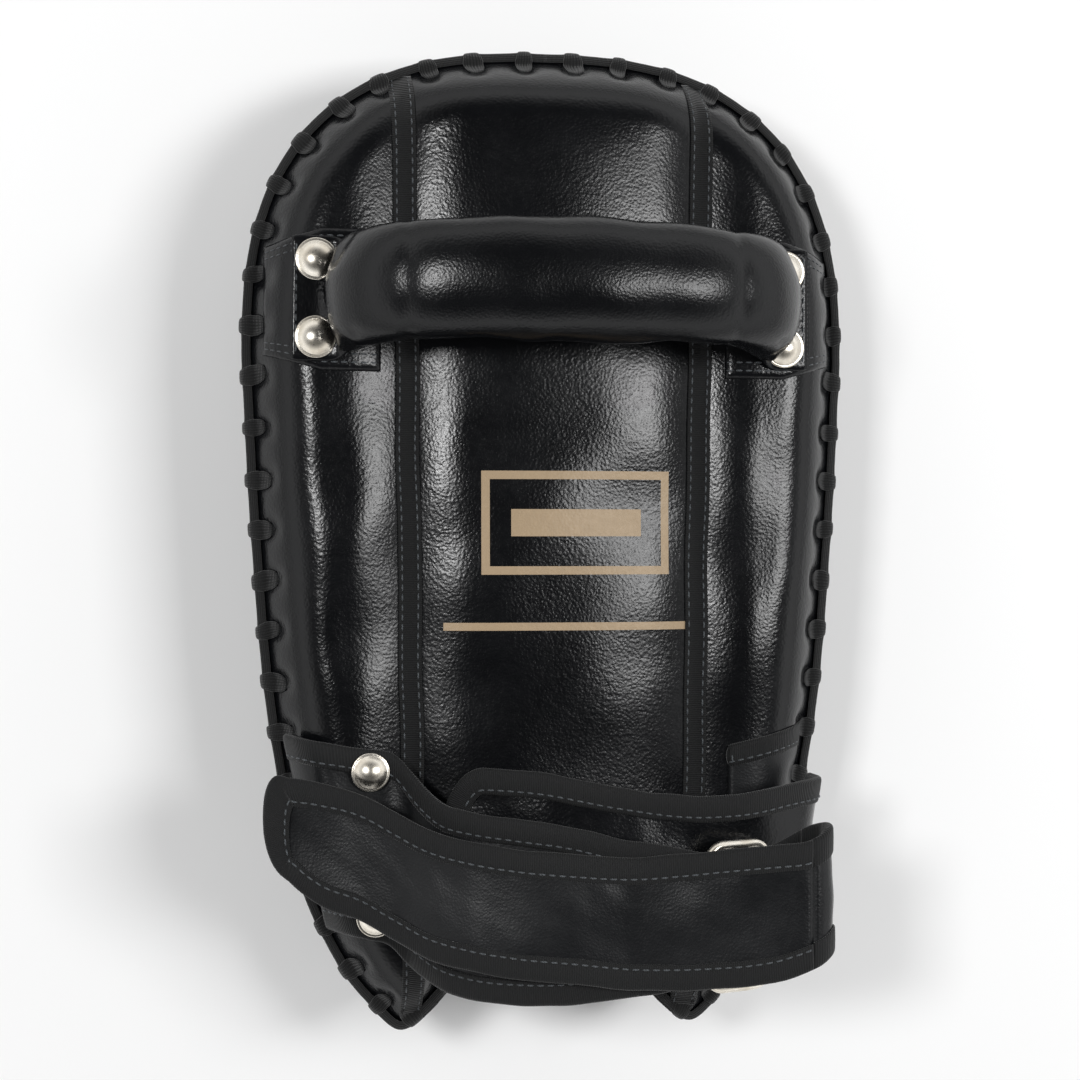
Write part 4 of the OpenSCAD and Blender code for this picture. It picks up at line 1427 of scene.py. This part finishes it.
def binding(name, ribbon, thick, body, seed, reach=0.0, node=None, calm=(False, False)):
    """Woven tape folded over a strap's edge and sewn through, with its row of stitches."""
    inside = thick / 2 + 0.1
    outside = inside + tape_thick
    section = [
        (binding_width, inside), (binding_width, outside - 0.2), (binding_width - 0.7, outside),
        (5.0, outside + 0.1), (1.4, outside), (0.4, outside * 0.82), (-0.2, outside * 0.4),
        (-0.35, 0.0), (-0.2, -outside * 0.4), (0.4, -outside * 0.82), (1.4, -outside),
        (5.0, -outside - 0.1), (binding_width - 0.2, -outside),
        (binding_width + 0.5, -outside + 0.2), (binding_width + 0.5, -inside),
        (1.0, -inside), (1.0, inside)]
    girth = run_along(section)
    parts, uvs, rows = [], [], []
    for route in edge_route(ribbon, reach):
        a, c, na, nc = route.T
        still = ribbon.calm(a, calm)
        wave = (0.35 * wobble(a, c, seed, 38) + 0.14 * wobble(a, c, seed + 1, 15)) * still
        flutter = 0.22 * wobble(a, c * 0.3, seed + 9, 19) * still
        rings = np.stack([
            ribbon.at(a + na * (n + flutter), c + nc * (n + flutter), wave + up)
            for n, up in section], 1)
        parts.append(tube_points(rings))
        uvs.append(tube_uv(np.arange(len(route)) * edge_step, girth))
        n = binding_width - 1.9
        line = ribbon.at(a + na * n, c + nc * n, wave + outside + 0.12)
        rows.append((line, ribbon.normal(np.clip(a + na * n, 0, ribbon.length))))
    points, faces = joined(parts)
    piece = make(name, points, faces, tape_cloth, np.vstack(uvs), flip=True)
    fasten(piece, body, node)
    stitches(name + "_stitches", rows, body)


def patch_grid(low_ends, high_ends, columns):
    """Share across and y over a patch whose low and high edges both slope."""
    u, v = np.broadcast_arrays(np.linspace(0, 1, columns)[None], np.linspace(0, 1, 60)[:, None])
    low = np.interp(u, [0, 1], low_ends)
    high = np.interp(u, [0, 1], high_ends)
    return u, low + v * (high - low)


def make_strap_base():
    """Leather under the strap's riveted end, laid on the left panel."""
    u, y = patch_grid((-154, -164), (-79, -87), 44)
    outer = patch_inset - rim_x(y)
    x = outer + u * (-65.5 - outer)
    patch("strap_base_leather", x, y, patch_thick, satin, "strap_base")


def make_tongue_tab():
    """Leather that carries the tongue, laid on the right panel, its top edge bound with tape."""
    tab_left, top_ends = 72, (-84.6, -77.0)
    u, y = patch_grid((-164, -157), top_ends, 40)
    outer = rim_x(y) - patch_inset
    x = tab_left + u * (outer - tab_left)
    patch("tongue_tab_leather", x, y, patch_thick, satin, "tongue_tab")

    a = np.linspace(0, 1, 60)[None]
    b = np.linspace(-0.6, 9.0, 14)[:, None]
    rounding = 2.6 * (1 - np.sqrt(np.clip(1 - ((b - 4.2) / 5.0) ** 2, 0, 1)))
    left = 71.3 + rounding
    y = np.interp(a, [0, 1], top_ends) - b + 0 * a
    outer = rim_x(y) - 7.6
    x = left + a * (outer - left)
    uv = np.stack([x, y], -1)
    top = patch("tongue_tab_tape", x, y, 2.7, tape_cloth, blur=5, uv=uv)
    row = grid_row(top, fixed_row=-4)
    end = grid_row(top[::-1], fixed_column=3)
    stitches("tongue_tab_stitches", [row, (end[0][2:-4], end[1][2:-4])], "pad")


def make_cuff():
    fold = ("pad", "flap", (0, 0, (crest + 8) * MM), (0, 0, (crest + 19) * MM))
    strap = Ribbon(strap_stations, high=split_x)
    onward, both = (False, True), (True, True)
    ribbon_sheet("strap_leather", strap, strap_thick, satin, "pad", seed=81,
                 node="strap_run", columns=21, calm=onward)
    binding("strap_binding", strap, strap_thick, "pad", 81, node="strap_run_binding",
            calm=onward)
    flap = Ribbon(flap_stations, high=split_x)
    ribbon_sheet("flap_leather", flap, strap_thick, satin, "flap", reach=9,
                 seed=91, node="flap", columns=21, calm=onward)
    binding("flap_edge", flap, strap_thick, "flap", 91, reach=9, node="flap_binding",
            calm=onward)
    turn = [s for s in strap_stations if s[0] > 76][:-1]
    turn += [s for s in flap_stations[::-1] if s[0] > 76][1:]
    bend = Ribbon(turn, low=split_x, spacing=1.4)
    ribbon_sheet("fold_leather", bend, strap_thick, satin, fold, seed=95,
                 columns=21, calm=both)
    binding("fold_binding", bend, strap_thick, fold, 95, calm=both)

    lower = strap_thick / 2 + 0.75
    contact = (-41, 25)
    for name, ribbon, body, up, seed, node in (
            ("loop_patch", strap, "pad", lower, 81, "strap_loop_patch"),
            ("hook_patch", flap, "flap", -lower, 91, "flap_hook_patch")):
        span = ribbon.run[[np.abs(ribbon.rows[:, 0] - x).argmin() for x in contact]]
        ribbon_sheet(name, ribbon, 1.2, loop_pile, body, bounds=span,
                     half=14, up=up, seed=seed, node=node)

    tongue = Ribbon(tongue_stations)
    ribbon_sheet("tongue_leather", tongue, tongue_thick, gloss, "pad",
                 reach=20, seed=101, node="tongue", columns=25, uneven=0.5)
    binding("tongue_edge", tongue, tongue_thick, "pad", 101, reach=20, node="tongue_binding")


make_strap_base()
make_tongue_tab()
make_cuff()
make_rivets("strap_rivet_caps", [(-76, -92.5), (-74, -150.5)], strap_rivet_seat,
            strap_cap_radius, "strap_rivets")


# ---- Ring and chape ---------------------------------------------------------------------------

wire_radius = 1.9
ring_long, ring_short, ring_corner = 56.2, 27.0, 6.0
ring_pivot = np.array([79.5, ring_y + 1, crest - 5.2])
ring_tilt = math.radians(20.5)


def make_ring():
    """A rectangular ring of round wire with rounded corners and a welded joint."""
    corners = []
    for sx, sy, start in ((1, 1, 0), (-1, 1, 90), (-1, -1, 180), (1, -1, 270)):
        angle = np.radians(start + np.linspace(0, 90, 12))
        centre = (sx * (ring_short / 2 - ring_corner), sy * (ring_long / 2 - ring_corner))
        corners.append(np.column_stack([
            centre[0] + ring_corner * np.cos(angle), centre[1] + ring_corner * np.sin(angle),
            0 * angle]))
    line = resample(np.vstack(corners), 1.2, closed=True)
    lean = unit(np.roll(line, -1, 0) - np.roll(line, 1, 0))
    out = np.column_stack([lean[:, 1], -lean[:, 0], 0 * lean[:, 0]])
    angle = full_turn(20)
    weld = 0.22 * np.exp(-((line[:, 1]) / 2.2) ** 2) * (line[:, 0] > 0)
    radius = (wire_radius + weld)[:, None, None]
    rings = line[:, None] + radius * (
        np.cos(angle)[None, :, None] * out[:, None]
        + np.sin(angle)[None, :, None] * np.array([0, 0, 1.0]))
    rings[..., 0] -= ring_short / 2
    c, s = math.cos(ring_tilt), math.sin(ring_tilt)
    x = rings[..., 0] * c + rings[..., 2] * s
    z = -rings[..., 0] * s + rings[..., 2] * c
    points = np.stack([x, rings[..., 1], z], -1) + ring_pivot
    faces = grid_faces(len(line), len(angle), around=True, along=True)
    fasten(make("ring_wire", points, faces, nickel), "ring", "ring")


def make_chape():
    """A strip of leather looped round the ring's bar, its two ends together on the tongue."""
    loop = wire_radius + 1.15
    half = 21
    y = ring_y + 1
    angle = np.radians(np.arange(60, 241, 20))
    wrap = [(ring_pivot[0] + loop * math.cos(a), y, ring_pivot[2] + loop * math.sin(a), half, 0)
            for a in angle]
    stations = ([(93.9, y, back_top + 25, half, 0)] + wrap
                + [(92.4, y, back_top + 22.9, half, 0)])
    strip = Ribbon(stations, spacing=0.9)
    ribbon_sheet("chape_leather", strip, 1.6, satin, "pad", uneven=0.12,
                 seed=111, node="ring_chape", columns=31)


make_ring()
make_chape()


# ---- Foam under the skins ---------------------------------------------------------------------

def make_core(name, levels, material):
    """A foam core inside the gusset: rings at (height, extra inset) pairs, bottom to top."""
    inside = 9.0
    ring = scaled_ring(0, 0)
    ring[:, :2] += sample_normal * inside
    inward, _ = rim_place(ring[:, 0], ring[:, 1])
    ring = ring[inward > inside - 0.4]
    rings = []
    for z, extra in levels:
        level = ring.copy()
        level[:, 0] *= 1 - extra / half_width
        level[:, 1] *= 1 - extra / half_length
        level[:, 2] = z
        rings.append(level)
    count = len(ring)
    faces = grid_faces(len(rings), count, around=True).tolist()
    faces.append(list(range(count))[::-1])
    faces.append(list(range(count * (len(rings) - 1), count * len(rings))))
    fasten(make(name + "_block", np.stack(rings), faces, material), "pad", name)


def make_grip_foam():
    """The foam roll inside the grip's leather."""
    rings = grip_rings(resample(grip_line, 4.0)[2:-2], 24, swell=-3.4)
    piece = make("grip_foam_roll", *tube_points(turn_points(rings)), soft_foam_look)
    fasten(piece, "pad", "grip_foam")


make_core("dense_foam_core", [(4.0, 21), (8, 8.5), (16, 2), (38, 0)], dense_foam_look)
make_core("soft_foam_core", [(38.1, 0), (rim - 0.1, 0)], soft_foam_look)
make_grip_foam()


# ---- CAD pieces that stay ---------------------------------------------------------------------

for node_name in ("handle_burrs_left", "handle_burrs_right", "strap_burrs"):
    for material_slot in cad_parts[node_name].material_slots:
        material_slot.material = burr_metal


# ---- Floor ------------------------------------------------------------------------------------

def make_floor():
    look = Look("floor", (0.94, 0.94, 0.94), 0.7)
    shade = look.mix(look.noise(3, 2), (0.93, 0.93, 0.93), (0.95, 0.95, 0.95))
    look.tree.links.new(shade, look.shader.inputs["Base Color"])
    side = 6000
    corners = [(-side, -side, -0.2), (side, -side, -0.2), (side, side, -0.2), (-side, side, -0.2)]
    floor = make("floor", corners, [(0, 1, 2, 3)], look.material)


make_floor()
